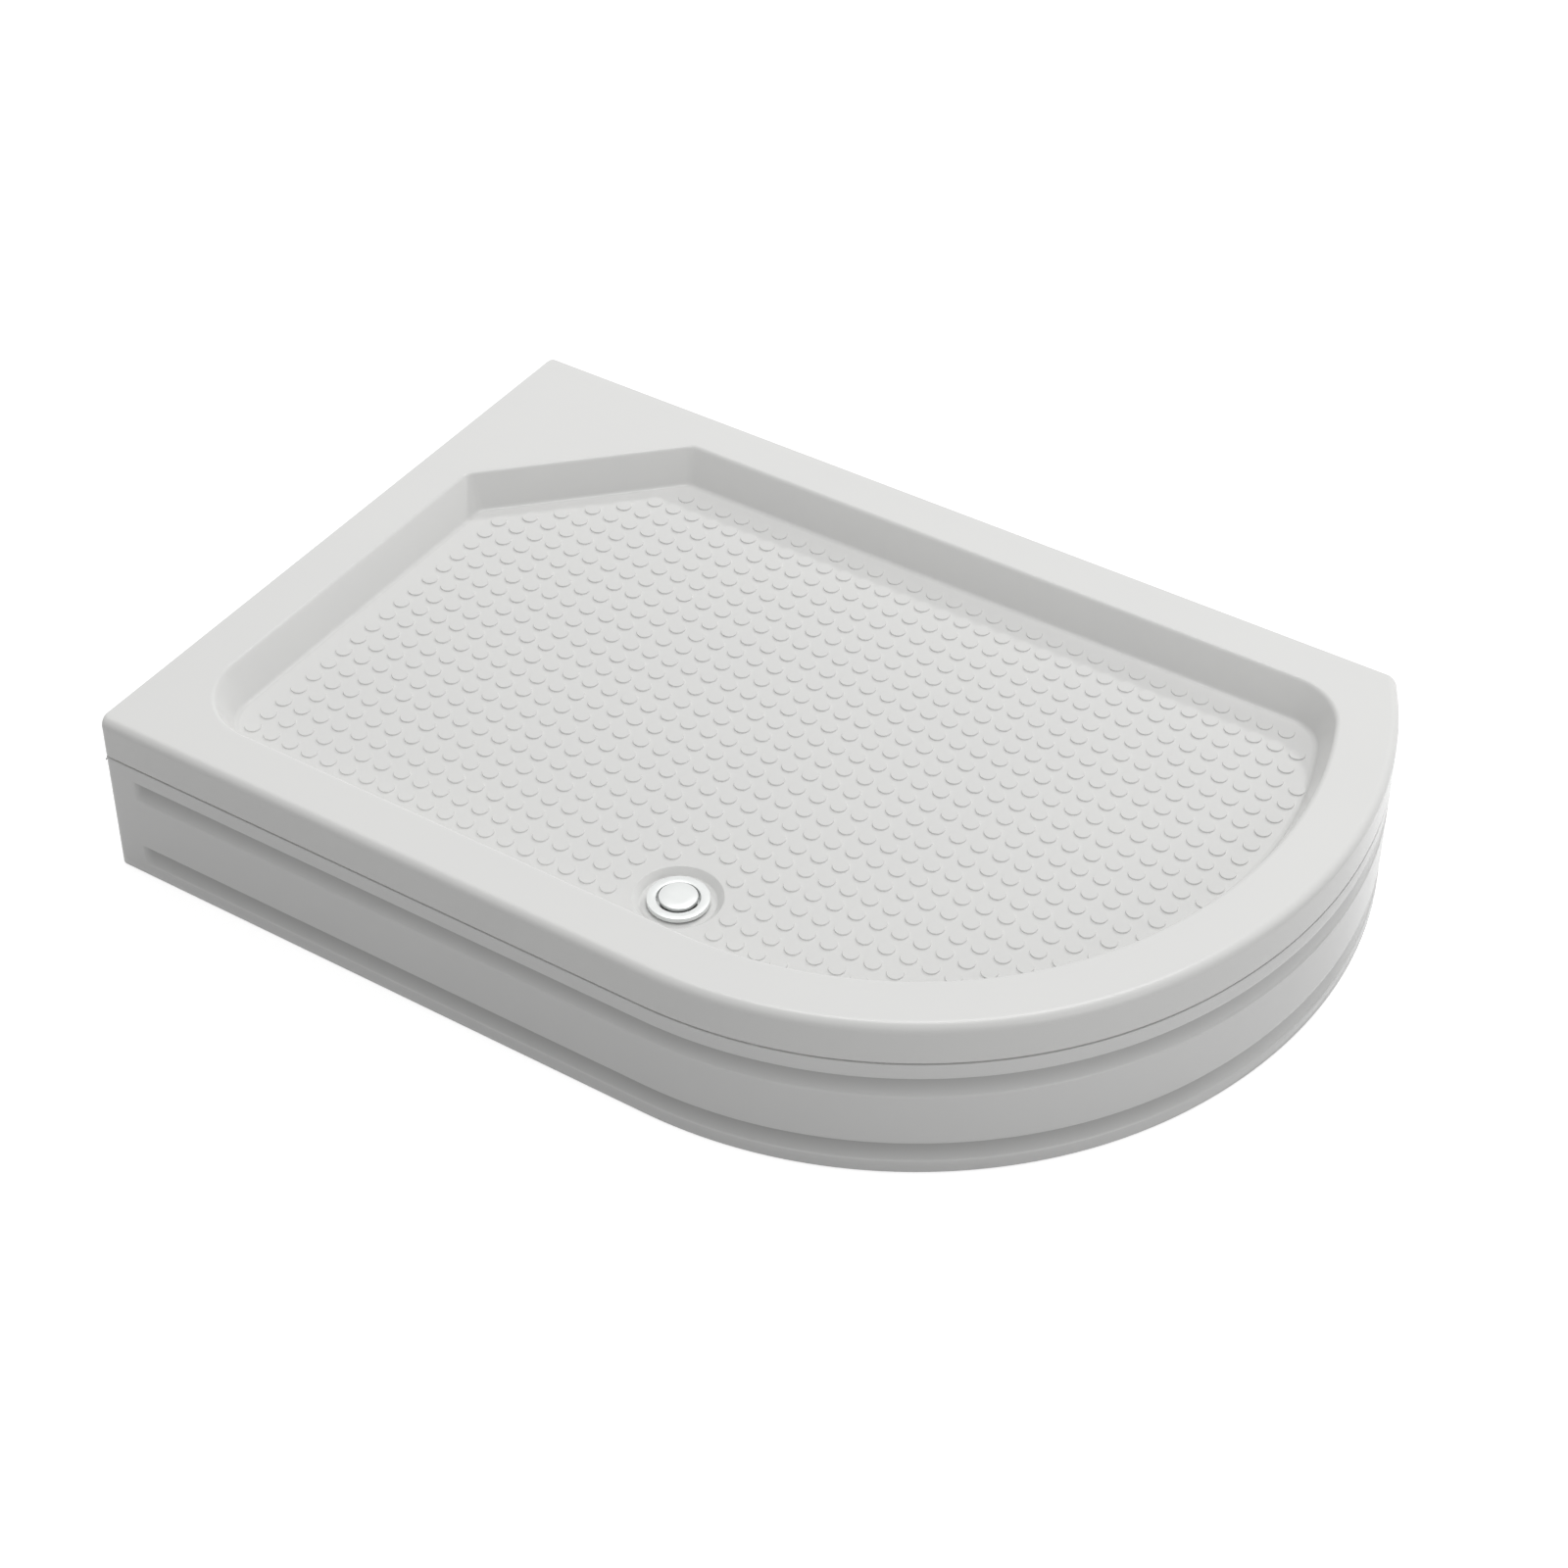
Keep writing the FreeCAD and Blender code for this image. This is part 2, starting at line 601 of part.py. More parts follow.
def make_leg_plates():
    plates = []
    half = PLATE_WIDTH / 2
    for axis, bar in leg_places():
        inward = 1 if axis.x > bar else -1
        x0, x1 = sorted((bar - inward * HALF_TUBE, axis.x + inward * PLATE_REACH))
        plate = box(x0, axis.y - half, PLATE_Z, x1, axis.y + half, TUBE_Z)
        plates.append(plate.cut(rod(STUD_RADIUS + STUD_GAP, PLATE_Z, TUBE_Z, axis)))
    return plates


def make_foot(axis):
    neck = STUD_RADIUS + FOOT_NECK_WALL
    return turned(
        [(0, 0), (FOOT_RADIUS - 1, 0), (FOOT_RADIUS, 1), (FOOT_RADIUS, FOOT_RIM), (neck + 4, FOOT_BASE + 2),
         (neck, FOOT_BASE + 6), (neck, FOOT_HEIGHT), (STUD_RADIUS, FOOT_HEIGHT), (STUD_RADIUS, FOOT_BASE),
         (0, FOOT_BASE)],
        axis,
    )


def make_stud(axis):
    top = TUBE_Z + STUD_ABOVE_PLATE
    tip = STUD_RADIUS - 1
    return turned(
        [(0, FOOT_BASE), (STUD_RADIUS, FOOT_BASE), (STUD_RADIUS, top - 1), (tip, top), (0, top)], axis
    )


def hex_nut(z0, height, axis):
    corner = NUT_FLATS / math.sqrt(3)
    points = [V(*on_circle((axis.x, axis.y), corner, math.radians(60 * k)), z0) for k in range(7)]
    nut = Part.Face(Part.makePolygon(points)).extrude(V(0, 0, height))
    bevel = corner - NUT_FLATS / 2
    rounded = turned(
        [(0, z0), (NUT_FLATS / 2, z0), (corner, z0 + bevel), (corner, z0 + height - bevel),
         (NUT_FLATS / 2, z0 + height), (0, z0 + height)],
        axis,
    )
    return nut.common(rounded).cut(rod(STUD_RADIUS + THREAD_GAP, z0, z0 + height, axis))


def make_nuts(axis):
    return [hex_nut(PLATE_Z - NUT_HEIGHT, NUT_HEIGHT, axis), hex_nut(TUBE_Z, LOCK_NUT_HEIGHT, axis)]


# Waste, plug and trap

def top_edges(solid, z, radius):
    return [e for e in flat_edges(solid, z) if abs(e.BoundBox.XLength / 2 - radius) < 1e-3]


def make_flange():
    end = FLANGE_Z - TAIL_LENGTH
    flange = turned(
        [(TAIL_BORE, end), (TAIL_RADIUS, end), (TAIL_RADIUS, FLANGE_Z), (FLANGE_RADIUS, FLANGE_Z),
         (FLANGE_RADIUS, FLANGE_TOP), (SEAT_RADIUS, FLANGE_TOP), (SEAT_RADIUS, SEAT_Z),
         (TAIL_BORE, SEAT_Z)],
        DRAIN,
    )
    rounded = top_edges(flange, FLANGE_TOP, FLANGE_RADIUS) + top_edges(flange, FLANGE_TOP, SEAT_RADIUS)
    return flange.makeFillet(FLANGE_ROUND, rounded)


def ring(inner, outer, z0, z1):
    return turned([(inner, z0), (outer, z0), (outer, z1), (inner, z1)], DRAIN)


def make_guide():
    low = GUIDE_Z - GUIDE_HUB
    ring_z = GUIDE_Z - GUIDE_RING
    guide = ring(TAIL_BORE - GUIDE_RING_WALL, TAIL_BORE, ring_z, GUIDE_Z)
    arm = box(0, -GUIDE_ARM / 2, ring_z, TAIL_BORE - GUIDE_RING_WALL / 2, GUIDE_ARM / 2, GUIDE_Z)
    pieces = [rod(GUIDE_HUB_RADIUS, low, GUIDE_Z, DRAIN)]
    for turn in (30, 150, 270):
        pieces.append(arm.rotated(V(0, 0, 0), UP, turn).translated(DRAIN))
    guide = guide.fuse(pieces).cut(rod(STEM_RADIUS + STEM_CLEARANCE, low, GUIDE_Z, DRAIN))
    return guide.removeSplitter()


def make_cap():
    cap = rod(PLUG_RADIUS, PLUG_Z, PLUG_Z + PLUG_THICKNESS, DRAIN)
    return cap.makeFillet(PLUG_EDGE_ROUND, top_edges(cap, PLUG_Z + PLUG_THICKNESS, PLUG_RADIUS))


def make_stem():
    stop = GUIDE_Z - GUIDE_HUB - REST_GAP
    low = stop - STEM_STOP
    return turned(
        [(0, low - STEM_TAIL), (STEM_RADIUS, low - STEM_TAIL), (STEM_RADIUS, low), (STEM_STOP_RADIUS, low),
         (STEM_STOP_RADIUS, stop), (STEM_RADIUS, stop), (STEM_RADIUS, PLUG_Z), (0, PLUG_Z)],
        DRAIN,
    )


def along_outlet(points):
    """Solid of revolution about the outlet's axis, from (radius, y) points."""
    solid = turned(points, V(0, 0, 0))
    solid.rotate(V(0, 0, 0), V(1, 0, 0), -90)
    return solid.translated(V(DRAIN.x, 0, OUTLET_Z))


def make_trap():
    low, roof = TRAP_Z - TRAP_HEIGHT, TRAP_Z - TRAP_TOP
    under_flange = TRAP_Z - TRAP_FLANGE
    inside = TRAP_RADIUS - TRAP_WALL
    body = turned(
        [(0, low), (TRAP_RADIUS, low), (TRAP_RADIUS, under_flange), (TRAP_FLANGE_RADIUS, under_flange),
         (TRAP_FLANGE_RADIUS, TRAP_Z), (0, TRAP_Z)],
        DRAIN,
    )
    hollow = rod(inside, low + TRAP_WALL, roof, DRAIN)
    mouth = rod(TAIL_RADIUS + FIT_GAP, roof, TRAP_Z, DRAIN)
    spigot = [(0, DRAIN.y), (SOCKET_RADIUS + SOCKET_WALL, DRAIN.y), (SOCKET_RADIUS + SOCKET_WALL, SOCKET_Y),
              (0, SOCKET_Y)]
    passage = PIPE_RADIUS - PIPE_WALL
    step = DRAIN.y + TRAP_RADIUS
    bore = [(0, DRAIN.y), (passage, DRAIN.y), (passage, step), (SOCKET_RADIUS, step),
            (SOCKET_RADIUS, SOCKET_Y), (0, SOCKET_Y)]
    return body.fuse(along_outlet(spigot)).cut([hollow, mouth, along_outlet(bore)]).removeSplitter()


def make_outlet_nut():
    inner = SOCKET_RADIUS + SOCKET_WALL
    outer = inner + NUT_WALL
    seal_end = SOCKET_Y + OUTLET_SEAL
    y0, y1 = SOCKET_Y - NUT_OVERLAP, seal_end + NUT_LIP
    nut = along_outlet(
        [(inner, y0), (outer, y0), (outer, y1), (SOCKET_RADIUS, y1), (SOCKET_RADIUS, seal_end),
         (inner, seal_end)]
    )
    grip = along_outlet([(0, y0), (NUT_GRIP_RADIUS, y0), (NUT_GRIP_RADIUS, y1), (0, y1)])
    axis = V(DRAIN.x, 0, OUTLET_Z)
    grips = []
    for k in range(NUT_GRIPS):
        at = grip.translated(V(0, 0, outer + NUT_GRIP_RADIUS / 3))
        grips.append(at.rotated(axis, V(0, 1, 0), 360 * k / NUT_GRIPS))
    return nut.cut(grips)


def make_outlet_seal():
    outer = SOCKET_RADIUS + SOCKET_WALL
    end = SOCKET_Y + OUTLET_SEAL
    return along_outlet([(PIPE_RADIUS, SOCKET_Y), (outer, SOCKET_Y), (outer, end), (PIPE_RADIUS, end)])


def make_pipe():
    """Plain pipe with a shallow ring cut in it that marks how far a coupling goes on."""
    inner = PIPE_RADIUS - PIPE_WALL
    start = DRAIN.y + TRAP_RADIUS
    end = start + PIPE_LENGTH
    mark = end - PIPE_FREE_END
    groove = PIPE_RADIUS - PIPE_MARK_DEPTH
    return along_outlet(
        [(inner, start), (PIPE_RADIUS, start), (PIPE_RADIUS, mark - PIPE_MARK), (groove, mark - PIPE_MARK),
         (groove, mark), (PIPE_RADIUS, mark), (PIPE_RADIUS, end), (inner, end)]
    )


# Front panel and what holds it

def cove_profile(inset_plane, top):
    """Face of a cove's cross section, where inset_plane gives the point for an inset and a height."""
    foot, deep = top - COVE_HEIGHT, top - COVE_LEDGE
    rise = deep - foot
    radius = (COVE_DEPTH ** 2 + rise ** 2) / (2 * COVE_DEPTH)
    half = math.asin(rise / radius) / 2
    middle = (COVE_DEPTH - radius + radius * math.cos(half), deep - radius * math.sin(half))
    corners = [(0, foot), (-COVE_CLEAR, foot), (-COVE_CLEAR, top), (0, top), (COVE_DEPTH, deep)]
    edges = Part.makePolygon([inset_plane(*c) for c in corners]).Edges
    hollow = Part.Arc(inset_plane(*corners[-1]), inset_plane(*middle), inset_plane(*corners[0]))
    return Part.Face(Part.Wire(edges + [hollow.toShape()]))


def cove_cutters(top):
    start = LEFT + COVE_END_INSET
    end = math.asin((BACK - SIDE_Y) / SIDE_RADIUS) - COVE_END_INSET / SIDE_RADIUS
    front = cove_profile(lambda inset, z: V(start, FRONT + inset, z), top)
    first = cove_profile(lambda inset, z: V(FRONT_X, FRONT + inset, z), top)

    def on_side(angle):
        return lambda inset, z: V(*on_circle((SIDE_X, SIDE_Y), SIDE_RADIUS - inset, angle), z)

    second = cove_profile(on_side(TURN), top)
    last = cove_profile(on_side(end), top)
    tip = on_side(end)(-COVE_CLEAR, 0)
    return [
        front.revolve(V(start, FRONT - COVE_CLEAR, 0), UP, 90),
        front.extrude(V(FRONT_X - start, 0, 0)),
        first.revolve(V(FRONT_X, FRONT_Y, 0), UP, FRONT_SWEEP),
        second.revolve(V(SIDE_X, SIDE_Y, 0), UP, math.degrees(end - TURN)),
        last.revolve(tip, UP, -90),
    ]


def make_panel():
    panel = band(0, PANEL, PANEL_FLOOR_GAP, PANEL_TOP)
    face = [
        e for e in flat_edges(panel, PANEL_TOP)
        if abs(front_inset(e.valueAt((e.FirstParameter + e.LastParameter) / 2))) < 1e-3
    ]
    panel = panel.makeFillet(PANEL_TOP_ROUND, face)
    flange = PANEL + PANEL_FLANGE_WIDTH
    low = PANEL_FLOOR_GAP
    top_flange = band(PANEL, flange, LEDGE_Z, PANEL_TOP)
    panel = panel.fuse([top_flange, band(PANEL, flange, low, low + PANEL_FLANGE)])
    panel = panel.cut(corner_waste(low, PANEL_TOP))
    for height in COVE_TOPS:
        for cutter in cove_cutters(low + height):
            panel = panel.cut(cutter)
    return panel.removeSplitter()


def fixing_places():
    """Points on the outline where the panel is fixed, with each one's turn from the straight front."""
    places = [(V(LEFT + d, FRONT, 0), 0) for d in FIXINGS_STRAIGHT]
    for a in FIXINGS_FRONT_ARC:
        places.append((V(*on_circle((FRONT_X, FRONT_Y), FRONT_RADIUS, math.radians(a - 90)), 0), a))
    for a in FIXINGS_SIDE_ARC:
        places.append((V(*on_circle((SIDE_X, SIDE_Y), SIDE_RADIUS, math.radians(a)), 0), a + 90))
    return places


def at_fixings(solid):
    return [solid.rotated(V(0, 0, 0), UP, turn).translated(point) for point, turn in fixing_places()]


BRACKET_V = PANEL + PANEL_FLANGE_WIDTH + BRACKET_GAP
STRIKE_V = PANEL + STRIKE_GAP
BLOCK_Z = RIM_UNDER - BLOCK_HEIGHT
BRACKET_Z = BLOCK_Z - BRACKET
SCREW_V = BRACKET_V + BRACKET_FOOT * 0.6
MAGNET_Z = LEDGE_Z - MAGNET_BELOW_LEDGE
FIXING_SCREWS = [V(side * BRACKET_SCREW_SPREAD / 2, SCREW_V, 0) for side in (-1, 1)]


def make_blocks():
    half = BLOCK_LENGTH / 2
    end = BRACKET_V + BRACKET_FOOT
    block = box(-half, end - BLOCK_DEPTH, BLOCK_Z, half, end, RIM_UNDER)
    holes = [rod(BRACKET_SCREW_RADIUS, BLOCK_Z, BLOCK_Z + BRACKET_SCREW_BITE, at) for at in FIXING_SCREWS]
    return at_fixings(block.cut(holes))


def make_brackets():
    half = BRACKET_LENGTH / 2
    foot = box(-half, BRACKET_V, BRACKET_Z, half, BRACKET_V + BRACKET_FOOT, BLOCK_Z)
    leg = box(-half, BRACKET_V, LEDGE_Z - BRACKET_DROP, half, BRACKET_V + BRACKET, BLOCK_Z)
    ledge = box(-half, PANEL + STRIKE, LEDGE_Z - BRACKET, half, BRACKET_V, LEDGE_Z)
    holes = [rod(BRACKET_SCREW_RADIUS + SCREW_GAP, BRACKET_Z, BLOCK_Z, at) for at in FIXING_SCREWS]
    return at_fixings(foot.fuse([leg, ledge]).cut(holes).removeSplitter())


def make_bracket_screws():
    tip = BLOCK_Z + BRACKET_SCREW_BITE
    one = screw(BRACKET_SCREW_RADIUS, BRACKET_SCREW_HEAD_RADIUS, BRACKET_SCREW_HEAD, BRACKET_Z, tip)
    return [s for at in FIXING_SCREWS for s in at_fixings(one.translated(at))]


def make_strikes():
    half = STRIKE_SIZE / 2
    plate = box(-half, 0, MAGNET_Z - half, half, BRACKET_V, MAGNET_Z + half)
    sheet = band(STRIKE_V, STRIKE_V + STRIKE, MAGNET_Z - half, MAGNET_Z + half)
    return [sheet.common(place) for place in at_fixings(plate)]


def make_magnets():
    start = STRIKE_V + STRIKE + STRIKE_GAP
    magnet = Part.makeCylinder(MAGNET_RADIUS, BRACKET_V - start, V(0, start, MAGNET_Z), V(0, 1, 0))
    return at_fixings(magnet)


os.makedirs("parts", exist_ok=True)
write("acrylic_shell", [make_shell()])
floor_mat, rim_strips = make_backing()
write("glass_fibre_floor", [floor_mat])
write("glass_fibre_rim", rim_strips)
write("base_board", [make_board()])
write("frame_bar_left", [side_bar(BAR_LEFT)])
write("frame_bar_right", [side_bar(BAR_RIGHT)])
write("frame_bar_middle", [
    tube(BAR_MIDDLE - HALF_TUBE, RAIL_FRONT + HALF_TUBE, BAR_MIDDLE + HALF_TUBE, RAIL_BACK - HALF_TUBE)
])
write("frame_rail_front", [rail(RAIL_FRONT)])
write("frame_rail_back", [rail(RAIL_BACK)])
write("tube_end_caps", make_caps())
write("frame_screws", make_frame_screws())
write("leg_plates", make_leg_plates())
for number, (axis, bar) in enumerate(leg_places(), 1):
    write("leg_%d_stud" % number, [make_stud(axis)])
    write("leg_%d_foot" % number, [make_foot(axis)])
    write("leg_%d_nuts" % number, make_nuts(axis))
write("waste_flange", [make_flange()])
write("flange_seal", [ring(WASTE_HOLE_RADIUS, FLANGE_RADIUS - FLANGE_SEAL_INSET, SUMP_Z, FLANGE_Z)])
write("trap_seal", [ring(WASTE_HOLE_RADIUS, TRAP_RADIUS, TRAP_Z, TRAP_Z + TRAP_SEAL)])
write("trap_body", [make_trap()])
dip_inner = TAIL_RADIUS + DIP_TUBE_GAP
dip_top = TRAP_Z - TRAP_TOP
write("dip_tube", [ring(dip_inner, dip_inner + DIP_TUBE_WALL, dip_top - DIP_TUBE_LENGTH, dip_top)])
write("plug_guide", [make_guide()])
write("plug_cap", [make_cap()])
write("plug_seal", [ring(PLUG_SEAL_INNER, PLUG_RADIUS - PLUG_SEAL_INSET, PLUG_Z - PLUG_SEAL, PLUG_Z)])
write("plug_stem", [make_stem()])
write("outlet_nut", [make_outlet_nut()])
write("outlet_seal", [make_outlet_seal()])
write("outlet_pipe", [make_pipe()])
write("front_panel", [make_panel()])
write("strike_plates", make_strikes())
write("fixing_blocks", make_blocks())
write("panel_brackets", make_brackets())
write("bracket_screws", make_bracket_screws())
write("panel_magnets", make_magnets())
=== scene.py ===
# %% [markdown]
# A raised shower tray: a white acrylic shell on a steel frame with levelling legs, a pull-off front panel
# and a chrome press waste. The solids come in as a fixed frame in metres. What the eye rests on, the shell,
# the panel, the waste and the threads, is modelled again here with smooth surfaces. The rest keeps its
# solid and gets a finish.

# %% Load the frame
import bmesh
import bpy
import json
import math
from mathutils import Matrix, Vector


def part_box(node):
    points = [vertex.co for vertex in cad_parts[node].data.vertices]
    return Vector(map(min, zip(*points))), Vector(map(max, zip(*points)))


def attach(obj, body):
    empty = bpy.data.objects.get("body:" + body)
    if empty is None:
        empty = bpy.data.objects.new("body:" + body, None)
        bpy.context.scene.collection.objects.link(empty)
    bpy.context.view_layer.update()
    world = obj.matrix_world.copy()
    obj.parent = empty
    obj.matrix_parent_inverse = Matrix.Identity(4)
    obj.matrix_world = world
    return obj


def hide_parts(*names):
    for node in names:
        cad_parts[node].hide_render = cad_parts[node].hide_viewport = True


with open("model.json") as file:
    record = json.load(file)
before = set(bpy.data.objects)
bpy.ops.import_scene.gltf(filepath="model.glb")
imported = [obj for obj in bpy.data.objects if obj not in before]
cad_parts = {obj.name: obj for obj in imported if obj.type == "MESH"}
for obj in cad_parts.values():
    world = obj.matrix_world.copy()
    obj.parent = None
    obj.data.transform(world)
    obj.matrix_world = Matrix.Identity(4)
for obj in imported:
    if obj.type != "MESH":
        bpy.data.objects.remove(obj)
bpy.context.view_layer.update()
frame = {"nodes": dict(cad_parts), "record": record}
scene = bpy.context.scene
scene.view_settings.view_transform = "Standard"

# %% [markdown]
# Every finish below is a shader with a pattern in it. Colours are written as sRGB hex values, as a paint
# card gives them, and one function turns them to the linear numbers that a shader needs. One more function
# adds a shader node with its options and links, so that each finish reads as a short list of nodes.
# Patterns read Object coordinates, which are metres here, so a grain of 5 mm is a scale of 1000 / 5.

# %% Colours and shader nodes
def colour(text):
    parts = [int(text[k:k + 2], 16) / 255 for k in (1, 3, 5)]
    return tuple(c / 12.92 if c <= 0.04045 else ((c + 0.055) / 1.055) ** 2.4 for c in parts) + (1.0,)


def add(tree, kind, inputs=None, **options):
    made = tree.nodes.new("ShaderNode" + kind)
    for option, value in options.items():
        setattr(made, option, value)
    for socket, value in (inputs or {}).items():
        if isinstance(value, bpy.types.NodeSocket):
            tree.links.new(value, made.inputs[socket])
        else:
            made.inputs[socket].default_value = value
    return made


def per_mm(size):
    return 1000.0 / size


def finish(name, **sockets):
    material = bpy.data.materials.new(name)
    material.use_nodes = True
    tree = material.node_tree
    shader = tree.nodes["Principled BSDF"]
    for socket, value in sockets.items():
        shader.inputs[socket.replace("_", " ")].default_value = value
    return tree, shader, add(tree, "TexCoord").outputs["Object"]


print("white as a linear colour:", [round(c, 3) for c in colour("#ECECEA")])

# %% [markdown]
# Nearly every finish here has the same three layers: two tones that blend, a gloss that comes and goes, and
# a fine relief. Each layer follows a pattern, and two layers may share one. The nodes for that could be
# repeated in each finish, but one function that joins the three layers to the shader keeps the finishes
# short.

# %% Tones, gloss and relief
def layers(tree, shader, tones, toned_by, rough, dulled_by, relief, strength, depth, ends=(0.0, 1.0)):
    """Blends two tones between the ends of a pattern. The depth of the relief is in mm."""
    blend = add(tree, "ValToRGB", {"Fac": toned_by})
    for stop, end, tone in zip(blend.color_ramp.elements, ends, tones):
        stop.position = end
        stop.color = colour(tone)
    gloss = add(tree, "MapRange", {"Value": dulled_by, "To Min": rough[0], "To Max": rough[1]})
    bump = add(tree, "Bump", {"Height": relief, "Strength": strength, "Distance": depth / 1000})
    tree.links.new(blend.outputs["Color"], shader.inputs["Base Color"])
    tree.links.new(gloss.outputs["Result"], shader.inputs["Roughness"])
    tree.links.new(bump.outputs["Normal"], shader.inputs["Normal"])
    return blend.outputs["Color"]


print("a grain of 5 mm is a scale of", per_mm(5))

# %% [markdown]
# The shell and the panel are cast acrylic sheet, sucked down hot over a mould. That gives a soft gloss with
# an even white colour, a very slight waviness where the sheet stretched, and a little dulling here and
# there from wiping. The colour barely changes, so the pattern goes into roughness and a faint bump. Low in
# the pan, round the dots and deep in the panel's coves, a dark grey is mixed into the white as painted
# shade, to darken those hollows. How much comes from a number that the piece's own vertices carry, so that
# it follows the walls and the coves round the bow.

# %% Acrylic
CLOUD, WIPED, WAVE = 160, 45, 30
# Painted shade: this dark grey is mixed into the acrylic's white where hollows would be shaded.
PAINTED_SHADE_GREY = "#2A2A29"
MIX_SHARE, MIX_UNDER, MIX_OVER, MIX_RESULT = 0, 6, 7, 2


def acrylic(name, tones, rough, painted_shade):
    tree, shader, place = finish(name, IOR=1.49, Specular_IOR_Level=0.3)
    cloud = add(tree, "TexNoise", {"Vector": place, "Scale": per_mm(CLOUD), "Detail": 3.0}).outputs["Fac"]
    wiped = add(tree, "TexNoise", {"Vector": place, "Scale": per_mm(WIPED), "Detail": 4.0}).outputs["Fac"]
    wave = add(tree, "TexNoise", {"Vector": place, "Scale": per_mm(WAVE), "Detail": 1.0}).outputs["Fac"]
    white = layers(tree, shader, tones, cloud, rough, wiped, wave, strength=0.04, depth=1.0)
    # Painted shade: the number on the vertices sets how much of the grey darkens the white.
    shade_amount = add(tree, "Attribute", attribute_name=painted_shade).outputs["Fac"]
    both = {MIX_SHARE: shade_amount, MIX_UNDER: white, MIX_OVER: colour(PAINTED_SHADE_GREY)}
    with_painted_shade = add(tree, "Mix", both, data_type="RGBA").outputs[MIX_RESULT]
    tree.links.new(with_painted_shade, shader.inputs["Base Color"])
    return bpy.data.materials[name]


shell_white = acrylic("white_cast_acrylic", ("#EBEBEA", "#EEEEEC"), (0.16, 0.24), "pan_painted_shade")
panel_white = acrylic("white_acrylic_panel_sheet", ("#E9E9E8", "#ECECEB"), (0.18, 0.26), "cove_painted_shade")
print("acrylic finishes made")

# %% [markdown]
# Metals: the waste is satin chrome, pale and even, which shows soft shade as paint does and soft
# reflections over it, so it is only part metal here. The frame is galvanised tube, whose zinc froze in
# spangles about 12 mm across. Screws, nuts, studs and plates are zinc plated, bluish and finer. The plug's
# stem is turned brass, and the magnets wear a dark nickel plate. Tones run from the dark one to the pale
# one.

# %% Metals
def metal(name, tones, rough, grain, strength, spangle=False, metallic=1.0):
    tree, shader, place = finish(name, Metallic=metallic)
    spacing = {"Vector": place, "Scale": per_mm(grain)}
    if spangle:
        crystals = add(tree, "TexVoronoi", spacing).outputs["Color"]
        pattern = add(tree, "SeparateColor", {"Color": crystals}).outputs["Red"]
    else:
        pattern = add(tree, "TexNoise", {**spacing, "Detail": 5.0}).outputs["Fac"]
    layers(tree, shader, tones, pattern, rough, pattern, pattern, strength, depth=0.5)
    return bpy.data.materials[name]


chrome = metal("satin_chrome_plate", ("#E6E8E7", "#ECEEED"), (0.20, 0.28), 14, 0.01, metallic=0.55)
galvanised = metal("galvanised_steel_tube", ("#9BA1A5", "#C3C8CB"), (0.34, 0.48), 12, 0.05, spangle=True)
zinc = metal("zinc_plated_steel", ("#A9AEB6", "#C9CDD2"), (0.22, 0.36), 3, 0.05)
brass = metal("turned_brass", ("#A8823F", "#C9A257"), (0.20, 0.34), 2, 0.05)
nickel = metal("dark_nickel_plate", ("#515257", "#6C6D70"), (0.18, 0.30), 5, 0.03)
print("metal finishes made")

# %% [markdown]
# Plastics and rubber: feet and tube caps are black polypropylene with a spark-eroded grain. The trap is
# white polypropylene, soft in its gloss. The waste pipe is grey and smooth. Seals are soft black rubber,
# greyed with talc. All four are the same recipe with their own grain and gloss: the tones and the gloss
# change slowly, over a dozen grains.

# %% Plastics and rubber
GRAINS_PER_CLOUD = 12


def moulded(name, tones, rough, grain, strength, ior):
    tree, shader, place = finish(name, IOR=ior)
    fine = add(tree, "TexNoise", {"Vector": place, "Scale": per_mm(grain), "Detail": 6.0}).outputs["Fac"]
    broad = {"Vector": place, "Scale": per_mm(grain * GRAINS_PER_CLOUD), "Detail": 2.0}
    cloud = add(tree, "TexNoise", broad).outputs["Fac"]
    layers(tree, shader, tones, cloud, rough, cloud, fine, strength, depth=0.3)
    return bpy.data.materials[name]


black_plastic = moulded("black_polypropylene", ("#1E1F20", "#2B2C2D"), (0.42, 0.58), 1.5, 0.25, 1.49)
trap_plastic = moulded("white_polypropylene", ("#D9D9D4", "#E4E4E0"), (0.34, 0.46), 2.5, 0.06, 1.49)
pipe_plastic = moulded("grey_waste_pipe", ("#94979A", "#A3A6A8"), (0.28, 0.40), 4.0, 0.03, 1.53)
rubber = moulded("black_seal_rubber", ("#1A1A1A", "#2A2A2A"), (0.60, 0.80), 1.0, 0.15, 1.52)
print("plastic finishes made")

# %% [markdown]
# Under the shell the maker rolls chopped glass fibre and resin on to stiffen it. The strands lie all ways
# in a yellowish, half clear resin, with a rough hand. A noise that is squeezed across its length gives
# strands in one direction, and the largest of three such noises, each turned its own way, gives the mat.

# %% Glass fibre
STRAND, STRAND_TURNS = 40, (0.2, 1.25, 2.3)

tree, shader, place = finish("glass_fibre_and_resin", IOR=1.54)
strands = []
for turn in STRAND_TURNS:
    laid = add(tree, "Mapping", {"Vector": place, "Rotation": (0.0, 0.0, turn), "Scale": (1.0, 14.0, 3.0)})
    strand = {"Vector": laid.outputs["Vector"], "Scale": per_mm(STRAND), "Detail": 2.0}
    strands.append(add(tree, "TexNoise", strand).outputs["Fac"])
mat = strands[0]
for strand in strands[1:]:
    mat = add(tree, "Math", {0: mat, 1: strand}, operation="MAXIMUM").outputs["Value"]
layers(tree, shader, ("#C2BA98", "#E2DDC8"), mat, (0.30, 0.55), mat, mat, 0.6, 1.0, ends=(0.45, 0.72))
glass_fibre = bpy.data.materials["glass_fibre_and_resin"]
print("glass fibre made of", len(strands), "layers of strands")

